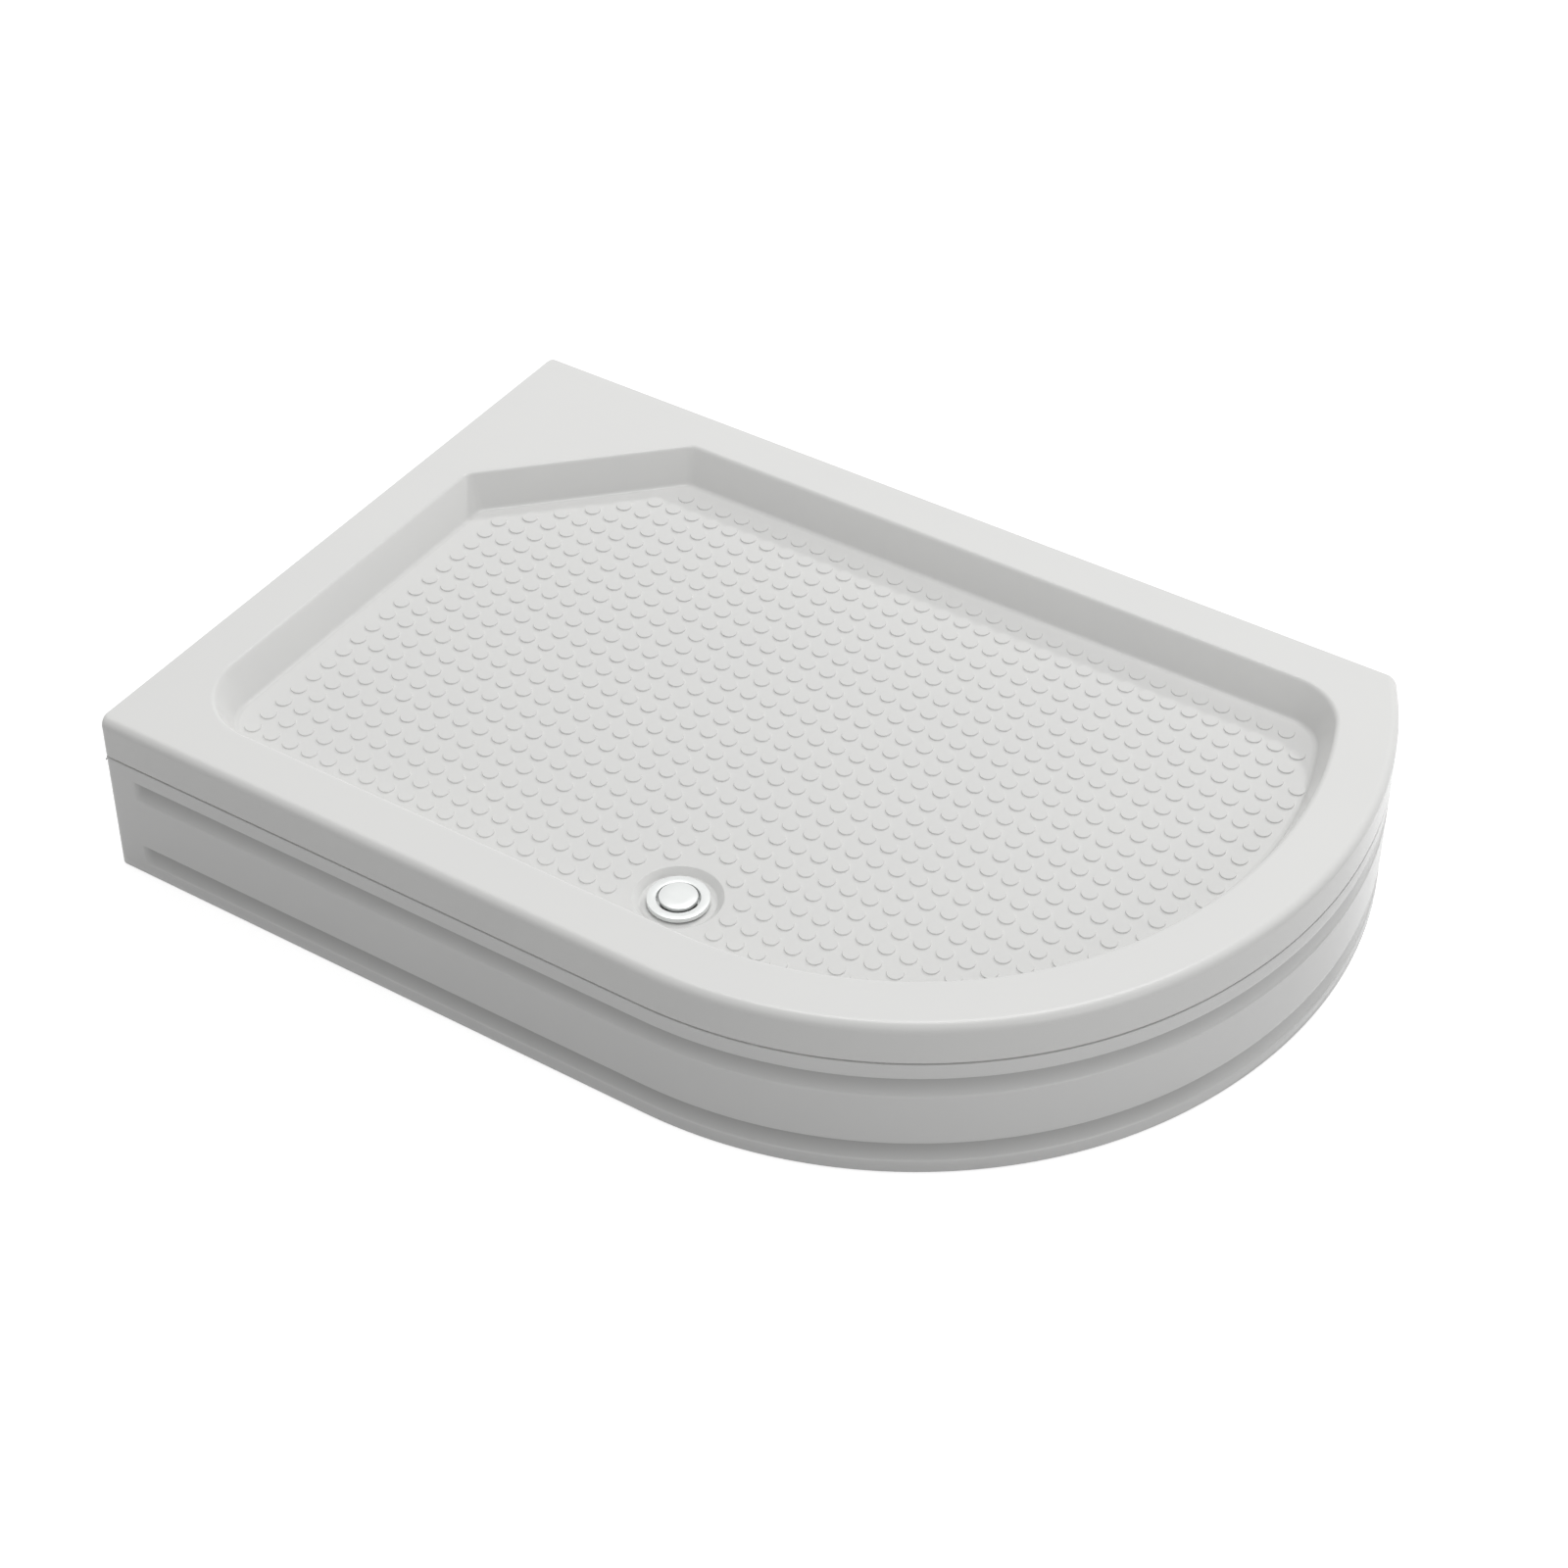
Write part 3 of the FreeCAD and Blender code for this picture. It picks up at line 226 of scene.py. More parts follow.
# %% [markdown]
# The board under the pan is chipboard: small chips, each with its own tone, so every cell of a Voronoi
# pattern is one chip. The blocks that carry the panel's brackets are sawn softwood, with the grain as a
# noise drawn out along X.

# %% Board and wood
CHIP, WOOD_GRAIN = 5, 30

tree, shader, place = finish("raw_chipboard", IOR=1.45)
chips = add(tree, "TexVoronoi", {"Vector": place, "Scale": per_mm(CHIP), "Randomness": 1.0})
chip = add(tree, "SeparateColor", {"Color": chips.outputs["Color"]}).outputs["Green"]
layers(tree, shader, ("#A98A5E", "#D8BF93"), chip, (0.66, 0.88), chip, chips.outputs["Distance"], 0.4, 0.6)
chipboard = bpy.data.materials["raw_chipboard"]

tree, shader, place = finish("sawn_softwood", IOR=1.45)
laid = add(tree, "Mapping", {"Vector": place, "Scale": (1.0, 9.0, 9.0)}).outputs["Vector"]
grain = add(tree, "TexNoise", {"Vector": laid, "Scale": per_mm(WOOD_GRAIN), "Detail": 5.0}).outputs["Fac"]
layers(tree, shader, ("#B98F5B", "#E3C797"), grain, (0.60, 0.82), grain, grain, 0.35, 0.6)
softwood = bpy.data.materials["sawn_softwood"]
print("finishes in all:", len(bpy.data.materials))

# %% [markdown]
# The nodes that keep their solids get these finishes in place of the plain colours they came with. The
# record names a slot for each node, so the finish follows from the slot.

# %% Dress the solids
FINISH_OF = {
    "white_acrylic": shell_white, "white_acrylic_panel": panel_white, "glass_fibre": glass_fibre,
    "board": chipboard, "block_wood": softwood, "frame_steel": galvanised, "zinc_steel": zinc,
    "black_plastic": black_plastic, "chrome": chrome, "seal_rubber": rubber, "trap_plastic": trap_plastic,
    "pipe_plastic": pipe_plastic, "brass": brass, "magnet": nickel,
}
for part in frame["record"]["subparts"]:
    for holder in frame["nodes"][part["node"]].material_slots:
        holder.material = FINISH_OF[part["material_slot"]]

# %% [markdown]
# The tray's plan is drawn once: a straight front, two tangent arcs round the bowed corner, then the back
# and left walls. A loop of the plan is traced like a pen stroke. Straight runs extrude the last vertex, and
# arcs spin it about a centre. Sizes here are millimetres, and a finished piece is scaled to metres at the
# end.

# %% Trace a stroke
LEFT, RIGHT, FRONT, BACK = -590.0, 590.0, -400.0, 400.0
FRONT_RADIUS, SIDE_RADIUS = 490.0, 550.0
SWEEP = math.radians(66.6)
SIDE_X = RIGHT - SIDE_RADIUS
FRONT_X = SIDE_X + (SIDE_RADIUS - FRONT_RADIUS) * math.sin(SWEEP)
FRONT_Y = FRONT + FRONT_RADIUS
SIDE_Y = FRONT_Y + (SIDE_RADIUS - FRONT_RADIUS) * math.cos(SWEEP)
TURN = SWEEP - math.pi / 2


def new_verts(made):
    return [part for part in made if isinstance(part, bmesh.types.BMVert)]


def stroke(bm, z, start, moves):
    """Draws runs (end point, count) and arcs (centre, angle, count) one after another at height z."""
    line = [bm.verts.new((*start, z))]
    for *place, count in moves:
        for step in range(count):
            if len(place) == 1:
                made = bmesh.ops.extrude_vert_indiv(bm, verts=line[-1:])["verts"]
                away = (Vector((*place[0], z)) - line[-1].co) / (count - step)
                bmesh.ops.translate(bm, verts=made, vec=away)
            else:
                made = bmesh.ops.spin(bm, geom=line[-1:], cent=(*place[0], z), axis=(0, 0, 1),
                                      angle=place[1] / count, steps=1)["geom_last"]
            line += new_verts(made)
    return line


print("plan arcs meet at", round(math.degrees(TURN), 1), "degrees")

# %% [markdown]
# A closed loop of the plan can be inset from the walls and from the front by different amounts, with its
# own corner radii. Loops at different heights have the same number of vertices, so neighbouring ones are
# bridged.

# %% Loops of the plan
FRONT_STEPS, BOW_STEPS, SIDE_STEPS = 14, 44, 36


def closed(bm, line):
    """Joins the stroke's end to its start and returns the loop's edges."""
    bmesh.ops.weld_verts(bm, targetmap={line[-1]: line[0]})
    ring = line[:-1]
    return [bm.edges.get((a, b)) for a, b in zip(ring, ring[1:] + ring[:1])]


def plan(bm, z, wall, front, near_left, back_right, back_left, cut=None):
    """One loop, inset from walls and front. The back left corner may be cut along y - x = cut."""
    left, back, near = LEFT + wall, BACK - wall, FRONT + front
    rise = back - back_right - SIDE_Y
    right = SIDE_X + math.sqrt((SIDE_RADIUS - front - back_right) ** 2 - rise ** 2)
    bend = math.atan2(rise, right - SIDE_X)
    moves = [
        ((FRONT_X, near), FRONT_STEPS),
        ((FRONT_X, FRONT_Y), SWEEP, BOW_STEPS),
        ((SIDE_X, SIDE_Y), bend - TURN, SIDE_STEPS),
        ((right, back - back_right), math.pi / 2 - bend, 12),
    ]
    if cut is None:
        moves += [((left + back_left, back), 24), ((left + back_left, back - back_left), math.pi / 2, 12)]
    else:
        trim = back_left * math.tan(math.pi / 8)
        slope = back_left * math.sqrt(0.5)
        over, down = back - cut + trim, left + cut - trim
        moves += [
            ((over, back), 16), ((over, back - back_left), math.pi / 4, 6),
            ((left + back_left - slope, down + slope), 8), ((left + back_left, down), math.pi / 4, 6),
        ]
    moves += [((left, near + near_left), 12), ((left + near_left, near + near_left), math.pi / 2, 14)]
    return closed(bm, stroke(bm, z, (left + near_left, near), moves))


def skin(bm, loops):
    for lower, upper in zip(loops, loops[1:]):
        bmesh.ops.bridge_loops(bm, edges=lower + upper)


print("edges along front and bow:", FRONT_STEPS + BOW_STEPS + SIDE_STEPS)

# %% [markdown]
# A finished mesh is scaled to metres and its faces are shaded smooth, with edges over 40 degrees kept
# crisp. Then the object is made at the origin, and rides on the body that carries it.

# %% Finish a piece
METRES, CRISP = 0.001, math.radians(40)


def piece(bm, name, material, body, slot, *nodes):
    bmesh.ops.scale(bm, vec=(METRES, METRES, METRES), verts=bm.verts[:])
    for face in bm.faces:
        face.smooth = True
    for edge in bm.edges:
        if len(edge.link_faces) == 2 and edge.calc_face_angle(0.0) > CRISP:
            edge.smooth = False
    mesh = bpy.data.meshes.new(name)
    bm.to_mesh(mesh)
    bm.free()
    mesh.materials.append(material)
    made = bpy.data.objects.new(name, mesh)
    scene.collection.objects.link(made)
    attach(made, body)
    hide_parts(*nodes)
    print(name, "has", len(mesh.polygons), "faces")


print("edges stay crisp over", round(math.degrees(CRISP)), "degrees")

# %% [markdown]
# The shell is one sheet: a lip hangs round the outside, rolls over a 10 mm round at the front into the flat
# rim, and drops through another round into the pan. It could be boxed out and bevelled, but the walls lean
# more than the front does, so each level of the sheet gets its own loop. These functions say how far in
# from the outline the sheet is at a height.

# %% Shell levels
TOP, FLOOR, LIP = 200.0, 164.0, 153.0
LIP_ROUND, WALL_ROUND, RIM_ROUND, BASE_ROUND = 10.0, 2.0, 6.0, 6.0
RIM = {"wall": 57.5, "front": 64.0}
LEAN = {"wall": 24.0, "front": 17.0}
CUT_LEG = 184.0
LIP_CORNERS = (8.0, 6.0, 6.0)
NEAR_LEFT_TOP, NEAR_LEFT_FOOT = 83.0, 58.0
BACK_RIGHT_TOP, BACK_RIGHT_FOOT = 76.0, 50.0
CUT_CORNER = 16.0


def outer_loop(bm, z, inward=0.0):
    front = LIP_ROUND - math.sqrt(LIP_ROUND ** 2 - max(0.0, z - TOP + LIP_ROUND) ** 2)
    wall = WALL_ROUND - math.sqrt(WALL_ROUND ** 2 - max(0.0, z - TOP + WALL_ROUND) ** 2)
    return plan(bm, z, wall + inward, front + inward, *LIP_CORNERS)


def pan_inset(side, z):
    """Distance from the outline of the pan's wall at a height, with its rounds and without them."""
    slant = math.atan2(TOP - FLOOR, LEAN[side])
    straight = RIM[side] + LEAN[side] * (TOP - z) / (TOP - FLOOR)
    if TOP - z < RIM_ROUND * (1 - math.cos(slant)):
        drop = RIM_ROUND - (TOP - z)
        edge = RIM[side] - RIM_ROUND * math.tan(slant / 2)
        return edge + math.sqrt(RIM_ROUND ** 2 - drop ** 2), straight
    if z - FLOOR < BASE_ROUND * (1 - math.cos(slant)):
        rise = BASE_ROUND - (z - FLOOR)
        foot = RIM[side] + LEAN[side] + BASE_ROUND * math.tan(slant / 2)
        return foot - math.sqrt(BASE_ROUND ** 2 - rise ** 2), straight
    return straight, straight


def pan_loop(bm, z, inward=0.0):
    wall, straight = pan_inset("wall", z)
    front = pan_inset("front", z)[0]
    deep = (TOP - z) / (TOP - FLOOR)
    shift = wall - straight + inward
    wall += inward
    cut = BACK - LEFT - 2 * RIM["wall"] - CUT_LEG - (wall - RIM["wall"]) * math.sqrt(2)
    near_left = NEAR_LEFT_TOP + (NEAR_LEFT_FOOT - NEAR_LEFT_TOP) * deep - shift
    back_right = BACK_RIGHT_TOP + (BACK_RIGHT_FOOT - BACK_RIGHT_TOP) * deep - shift
    return plan(bm, z, wall, front + inward, near_left, back_right, CUT_CORNER, cut)


print("pan is", TOP - FLOOR, "mm deep")

# %% [markdown]
# Now the loops are drawn, close together on the rounds and far apart between them, and bridged. The levels
# of a pan round go through a little more of a turn than the steepest wall needs. Each vertex of the pan
# gets its painted shade, which is darker lower down.

# %% Shell, from the lip to the pan floor
STRIP = 1.5
LIP_LEVELS = (LIP, LIP + 18, TOP - LIP_ROUND - 3)
ROUND_TURN, ROUND_STEPS = math.radians(74.5), 9
# Painted shade in the pan: a base amount, and more of it towards the foot of the walls.
PAN_PAINTED_SHADE, PAINTED_SHADE_TOP, PAINTED_SHADE_GAIN = 0.06, 0.5, 1.3


def levels(radius):
    """Heights along a round, measured from its flat end."""
    return [radius * (1 - math.cos(ROUND_TURN * k / ROUND_STEPS)) for k in range(ROUND_STEPS + 1)]


bm = bmesh.new()
painted_shade = bm.verts.layers.float.new("pan_painted_shade")
outside = [outer_loop(bm, z) for z in LIP_LEVELS]
for degrees in range(0, 91, 9):
    outside.append(outer_loop(bm, TOP - LIP_ROUND + LIP_ROUND * math.sin(math.radians(degrees))))
outside.append(outer_loop(bm, TOP, STRIP))
inside = [pan_loop(bm, TOP, -STRIP)]
inside += [pan_loop(bm, TOP - drop) for drop in levels(RIM_ROUND)]
inside += [pan_loop(bm, FLOOR + rise) for rise in reversed(levels(BASE_ROUND))]
for v in {v for loop in inside for edge in loop for v in edge.verts if v.co.z < TOP - 0.01}:
    v[painted_shade] = PAN_PAINTED_SHADE * (PAINTED_SHADE_TOP + PAINTED_SHADE_GAIN * (TOP - v.co.z) / (TOP - FLOOR))
floor_edge = [tuple(v.co.xy.copy() for v in edge.verts) for edge in inside[-1]]
inside.append(pan_loop(bm, FLOOR, STRIP))
skin(bm, outside)
skin(bm, inside)
bmesh.ops.triangle_fill(bm, edges=outside[-1] + inside[0], use_beauty=True, normal=(0, 0, 1))
print("shell levels:", len(outside) + len(inside), "faces so far:", len(bm.faces))

# %% [markdown]
# Round pieces are turned: the points of a section are extruded one after another and spun about the drain's
# axis. A section is written as its corners, each with the radius of its round, and one function puts the
# arcs in, so that no point of a round has to be listed.

# %% Turned pieces
DRAIN = Vector((46.0, -263.0, 0.0))


def rounded(corners, count=4):
    """Points (radius, height) of a section from its corners (radius, height, round)."""
    points = []
    for k, (out, up, bend) in enumerate(corners):
        here = Vector((out, up))
        if not bend:
            points.append(here)
            continue
        before = (Vector(corners[k - 1][:2]) - here).normalized()
        after = (Vector(corners[k + 1][:2]) - here).normalized()
        half = before.angle(after) / 2
        centre = here + (before + after).normalized() * bend / math.sin(half)
        first, last = (here + way * bend / math.tan(half) - centre for way in (before, after))
        begin = math.atan2(first.y, first.x)
        turn = math.copysign(math.pi - 2 * half, first.x * last.y - first.y * last.x)
        angles = [begin + turn * step / count for step in range(count + 1)]
        points += [centre + bend * Vector((math.cos(a), math.sin(a))) for a in angles]
    return points


def turned(bm, section, count=64):
    """Spins a section about the drain's axis and returns the edges of its first ring."""
    line = [bm.verts.new((DRAIN.x + section[0].x, DRAIN.y, section[0].y))]
    for here, there in zip(section, section[1:]):
        made = bmesh.ops.extrude_vert_indiv(bm, verts=line[-1:])["verts"]
        bmesh.ops.translate(bm, verts=made, vec=(there.x - here.x, 0, there.y - here.y))
        line += made
    drawn = [bm.edges.get((a, b)) for a, b in zip(line, line[1:])]
    bmesh.ops.spin(bm, geom=line + drawn, cent=DRAIN, axis=(0, 0, 1), angle=2 * math.pi, steps=count,
                   use_merge=True)
    ring = {v for v in bm.verts if abs((v.co.xy - DRAIN.xy).length - section[0].x) < 1e-3
            and abs(v.co.z - section[0].y) < 1e-3}
    return [edge for edge in bm.edges if ring.issuperset(edge.verts)]


print("drain at", DRAIN.xy[:], "mm")

# %% [markdown]
# The sump is a shallow dish pressed in the floor for the waste, with a side at 45 degrees. Its outer ring
# and the edge of the floor are filled with one flat face set, and the whole sheet is given its 4 mm
# thickness downwards.

# %% Sump, floor and thickness
SUMP_RADIUS, SUMP_DEPTH, SUMP_ROUND, SUMP_EDGE, SUMP_HOLE = 46.0, 7.0, 2.0, 48.0, 28.0
SHEET = 4.0

sump_ring = turned(bm, rounded([
    (SUMP_EDGE, FLOOR, 0),
    (SUMP_RADIUS, FLOOR, SUMP_ROUND),
    (SUMP_RADIUS - SUMP_DEPTH, FLOOR - SUMP_DEPTH, SUMP_ROUND),
    (SUMP_HOLE, FLOOR - SUMP_DEPTH, 0),
]))
sump = {v for v in bm.verts if (v.co.xy - DRAIN.xy).length < SUMP_EDGE + 0.1}
# Painted shade: the sump and the edge of the floor get the pan's base amount of grey.
for v in sump.union(v for edge in inside[-1] for v in edge.verts):
    v[painted_shade] = PAN_PAINTED_SHADE
bmesh.ops.triangle_fill(bm, edges=inside[-1] + sump_ring, use_beauty=True, normal=(0, 0, 1))
bmesh.ops.recalc_face_normals(bm, faces=bm.faces[:])
if max(bm.faces, key=lambda face: face.calc_center_median().z).normal.z < 0:
    bmesh.ops.reverse_faces(bm, faces=bm.faces[:])
bmesh.ops.solidify(bm, geom=bm.faces[:], thickness=SHEET)
heights = [v.co.z for v in bm.verts]
print("shell from", round(min(heights), 2), "to", round(max(heights), 2), "faces", len(bm.faces))
shell_bm = bm

# %% [markdown]
# Grip dots cover the floor in a square grid of 25.4 mm, 18 mm across and 1.4 mm proud. One dot is drawn as
# a ring that is extruded twice and capped: a thin skirt on the floor, which carries painted shade round the
# dot, then a steep side that meets the flat top in a crisp edge.

# %% One grip dot
DOT_SKIRT, DOT_SINK, DOT_SEGMENTS = 9.8, 0.02, 20
# Painted shade on each dot: more grey at its foot than on its top.
DOT_FOOT = {"radius": 9.0, "rise": 0.05, "painted_shade": 1.6}
DOT_TOP = {"radius": 8.5, "rise": 1.37, "painted_shade": 1.0}

bm = bmesh.new()
painted_shade = bm.verts.layers.float.new("pan_painted_shade")
ring = bmesh.ops.create_circle(bm, segments=DOT_SEGMENTS, radius=DOT_SKIRT)["verts"]
bmesh.ops.translate(bm, verts=ring, vec=(0, 0, FLOOR - DOT_SINK))
for v in ring:
    v[painted_shade] = PAN_PAINTED_SHADE
edges, radius = bm.edges[:], DOT_SKIRT
for level in (DOT_FOOT, DOT_TOP):
    ring = new_verts(bmesh.ops.extrude_edge_only(bm, edges=edges)["geom"])
    edges = [edge for edge in bm.edges if all(v in ring for v in edge.verts)]
    share = level["radius"] / radius
    bmesh.ops.scale(bm, verts=ring, vec=(share, share, 1.0))
    bmesh.ops.translate(bm, verts=ring, vec=(0, 0, level["rise"]))
    radius = level["radius"]
    for v in ring:
        v[painted_shade] = PAN_PAINTED_SHADE * level["painted_shade"]
bmesh.ops.edgeloop_fill(bm, edges=edges)
bmesh.ops.recalc_face_normals(bm, faces=bm.faces[:])
if max(bm.faces, key=lambda face: face.calc_area()).normal.z < 0:
    bmesh.ops.reverse_faces(bm, faces=bm.faces[:])
dot = bpy.data.meshes.new("grip_dot")
bm.to_mesh(dot)
bm.free()
print("a dot has", len(dot.polygons), "faces")

# %% [markdown]
# The dot is copied to each place of the grid that is clear of the walls and of the sump. The floor's edge
# bulges outwards all round, so a place is clear if it is far enough to the inner side of every edge in
# turn. Along the front and the bow the dots may run a little on to the wall's foot.

# %% Grid of dots
DOT_PITCH, DOT_COLUMNS, DOT_ROWS = 25.4, 44, 30
FIRST_DOT = Vector((LEFT + 112.4, BACK - 105.5))
WALL_REACH, BOW_REACH, DRAIN_REACH = 11.9, 5.5, 59.0


def inner_sides(edges):
    """A point on each edge of the floor, the direction inwards, and how far in a dot has to be."""
    middle = sum((a for a, b in edges), Vector((0.0, 0.0))) / len(edges)
    for count, (a, b) in enumerate(edges):
        inward = Vector((a.y - b.y, b.x - a.x)).normalized()
        reach = BOW_REACH if count < FRONT_STEPS + BOW_STEPS + SIDE_STEPS else WALL_REACH
        yield a, inward if inward.dot(middle - a) > 0 else -inward, reach


sides = list(inner_sides(floor_edge))
here, count = Vector((0.0, 0.0)), 0
for column in range(DOT_COLUMNS):
    for row in range(DOT_ROWS):
        place = FIRST_DOT + DOT_PITCH * Vector((column, -row))
        clear = all((place - a).dot(inward) > reach for a, inward, reach in sides)
        if clear and (place - DRAIN.xy).length > DRAIN_REACH:
            dot.transform(Matrix.Translation((*(place - here), 0.0)))
            shell_bm.from_mesh(dot)
            here, count = place, count + 1
print("dots:", count)

# %% [markdown]
# Sheet and dots are one moulding on the real tray, so they become one object. It takes the place of the
# plain solid and moves with the tray.

# %% Shell object
piece(shell_bm, "acrylic_shell_skin", shell_white, "tray", "white_acrylic", "acrylic_shell")

# %% [markdown]
# The front panel is a moulded skin that follows the straight front and the bow. Two long coves run along
# its face: each goes in sharply under an edge, which shades it, comes back out in a long soft slope, and
# ends in a small steep step that catches the light. A point of the section has three numbers: how far in it
# is, how far in a cove takes it, and its height. Small shapes are listed in millimetres from the cove's top
# or foot.

# %% Section of the front panel
PANEL_LOW, PANEL_TOP, PANEL_ROUND = 2.0, 150.0, 0.8
PANEL_DEEP, PANEL_SKIN, PANEL_FLANGE, PANEL_CHAMFER = 19.0, 9.0, 4.0, 0.6
COVE_TOPS, COVE_DEPTH, COVE_EDGE, COVE_SLOPE, COVE_STEP = (43.0, 132.0), 4.5, 2.0, 22.0, 1.2
STEP_SHAPE = ((0.0, -4.5), (0.0, -1.9), (0.096, -1.45), (0.36, -1.1), (0.84, -0.5))
EDGE_SHAPE = ((4.3, -1.2), (3.7, -0.6), (2.9, -0.4), (0.5, -0.25), (0.12, -0.12), (0.0, 0.3), (0.0, 4.0))
SLOPE_STEPS = 12

section = [(PANEL_CHAMFER, 0.0, PANEL_LOW), (0.0, 0.0, PANEL_LOW + PANEL_ROUND)]
for top in COVE_TOPS:
    foot = top - COVE_EDGE - COVE_SLOPE
    section += [(0.0, deep, foot + up) for deep, up in STEP_SHAPE]
    for share in (step / SLOPE_STEPS for step in range(SLOPE_STEPS + 1)):
        deep = COVE_STEP + (COVE_DEPTH - COVE_STEP) * math.sin(share * math.pi / 2)
        section.append((0.0, deep, foot + COVE_SLOPE * share))
    section += [(0.0, deep, top + up) for deep, up in EDGE_SHAPE]
for turn in (math.radians(degrees) for degrees in range(0, 91, 15)):
    drop = PANEL_ROUND * (1 - math.sin(turn))
    section.append((PANEL_ROUND * (1 - math.cos(turn)), 0.0, PANEL_TOP - drop))
for deep, z in (
    (PANEL_DEEP, PANEL_TOP), (PANEL_DEEP, PANEL_TOP - PANEL_FLANGE), (PANEL_SKIN, PANEL_TOP - PANEL_FLANGE),
    (PANEL_SKIN, PANEL_LOW + PANEL_FLANGE), (PANEL_DEEP, PANEL_LOW + PANEL_FLANGE), (PANEL_DEEP, PANEL_LOW),
):
    section.append((deep, 0.0, z))
section.append(section[0])
print("panel section has", len(section), "points")

# %% [markdown]
# One line along the panel is extruded through the points of that section. Where the coves die out near the
# ends, their depth is scaled down by how far the point is from the end. Each vertex also keeps a number for
# the painted shade, which is weaker on the bowed side. The line runs a little past both walls and is then
# cut off there.

# %% Front panel
# Painted shade: the amount of grey at a cove's deepest part, less where the cove is shallower.
COVE_END, COVE_FADE, COVE_PAINTED_SHADE = 38.0, 12.0, 0.34
FADE_FROM, FADE_TO = COVE_END - 4, COVE_END + COVE_FADE + 4
# Painted shade in the coves is weakened by this share along the side's arc.
SIDE_THINNING, SIDE_TURN = 0.7, 0.6
SPARE, PANEL_CORNER, PAST_CORNER = 16.0, 8.0, 20.0
WALL_END = math.asin((BACK - SIDE_Y) / SIDE_RADIUS)


def within(share):
    return min(1.0, max(0.0, share))


def along(place):
    """Inward direction at a place of the panel's line, and the shares of the cove's depth and of its painted
    shade.
    """
    with_painted_shade = 1.0
    if place.x <= FRONT_X:
        inward, gone = Vector((0, 1, 0)), place.x - LEFT
    else:
        bow = math.atan2(place.x - FRONT_X, FRONT_Y - place.y) <= SWEEP
        centre = (FRONT_X, FRONT_Y) if bow else (SIDE_X, SIDE_Y)
        inward = Vector((centre[0] - place.x, centre[1] - place.y, 0)).normalized()
        facing = math.atan2(-inward.y, -inward.x)
        gone = math.inf if bow else (WALL_END - facing) * SIDE_RADIUS
        with_painted_shade = 1.0 - SIDE_THINNING * within((facing - TURN) / SIDE_TURN)
    share = within((gone - COVE_END) / COVE_FADE)
    return inward, share * (2 - share), with_painted_shade


bm = bmesh.new()
painted_shade = bm.verts.layers.float.new("cove_painted_shade")
near = FRONT + PANEL_CHAMFER
line = stroke(bm, PANEL_LOW, (LEFT - SPARE, near), [
    ((LEFT + PAST_CORNER, near), 1), ((LEFT + FADE_FROM, near), 2), ((LEFT + FADE_TO, near), 10),
    ((FRONT_X, near), 12), ((FRONT_X, FRONT_Y), SWEEP, 48),
    ((SIDE_X, SIDE_Y), WALL_END - TURN - FADE_TO / SIDE_RADIUS, 44),
    ((SIDE_X, SIDE_Y), (FADE_TO - FADE_FROM) / SIDE_RADIUS, 10),
    ((SIDE_X, SIDE_Y), (FADE_FROM + SPARE) / SIDE_RADIUS, 5),
])
edges = [bm.edges.get((a, b)) for a, b in zip(line, line[1:])]
for (in0, cove0, z0), (in1, cove1, z1) in zip(section, section[1:]):
    made = bmesh.ops.extrude_edge_only(bm, edges=edges)["geom"]
    line = set(new_verts(made))
    edges = [part for part in made if isinstance(part, bmesh.types.BMEdge) and line.issuperset(part.verts)]
    for v in line:
        inward, share, with_painted_shade = along(v.co)
        v.co += inward * (in1 - in0 + (cove1 - cove0) * share) + Vector((0, 0, z1 - z0))
        v[painted_shade] = COVE_PAINTED_SHADE * with_painted_shade * share * cove1 / COVE_DEPTH
bmesh.ops.remove_doubles(bm, verts=bm.verts[:], dist=0.001)
for point, out in (((LEFT, 0, 0), (-1, 0, 0)), ((0, BACK, 0), (0, 1, 0))):
    bmesh.ops.bisect_plane(bm, geom=bm.verts[:] + bm.edges[:] + bm.faces[:], plane_co=point, plane_no=out,
                           clear_outer=True)
    bmesh.ops.edgeloop_fill(bm, edges=[edge for edge in bm.edges if edge.is_boundary])
bmesh.ops.recalc_face_normals(bm, faces=bm.faces[:])
corner = [edge for edge in bm.edges
          if all(abs(v.co.x - LEFT) < 0.01 and v.co.y < FRONT + PANEL_ROUND + 0.01 for v in edge.verts)]
bmesh.ops.bevel(bm, geom=corner, offset=PANEL_CORNER, affect="EDGES", segments=6, profile=0.5, material=-1)
piece(bm, "front_panel_skin", panel_white, "panel", "white_acrylic_panel", "front_panel")

# %% [markdown]
# The waste is turned metal with chrome on it: a flange ring that clamps the shell, with a tail below, and a
# cap that rides in its seat. Both are spun from their sections, so the chrome reflects without facets.

# %% Waste flange and plug cap
FLANGE_RADIUS, TAIL_RADIUS, SEAT_RADIUS, BORE_RADIUS = 32.0, 27.0, 22.5, 18.0
FLANGE_TOP, FLANGE_UNDER, SEAT_FLOOR, TAIL_END, FLANGE_ROUND = 163.5, 158.5, 155.0, 118.0, 0.5
CAP_RADIUS, CAP_UNDER, CAP_TOP, CAP_CROWN, CAP_ROUND = 20.0, 162.3, 166.28, 0.02, 1.25
FLANGE_CORNERS = [
    (BORE_RADIUS, TAIL_END, 0), (TAIL_RADIUS, TAIL_END, 0), (TAIL_RADIUS, FLANGE_UNDER, 0),
    (FLANGE_RADIUS, FLANGE_UNDER, 0), (FLANGE_RADIUS, FLANGE_TOP, FLANGE_ROUND),
    (SEAT_RADIUS, FLANGE_TOP, FLANGE_ROUND), (SEAT_RADIUS, SEAT_FLOOR, 0), (BORE_RADIUS, SEAT_FLOOR, 0),
    (BORE_RADIUS, TAIL_END, 0),
]
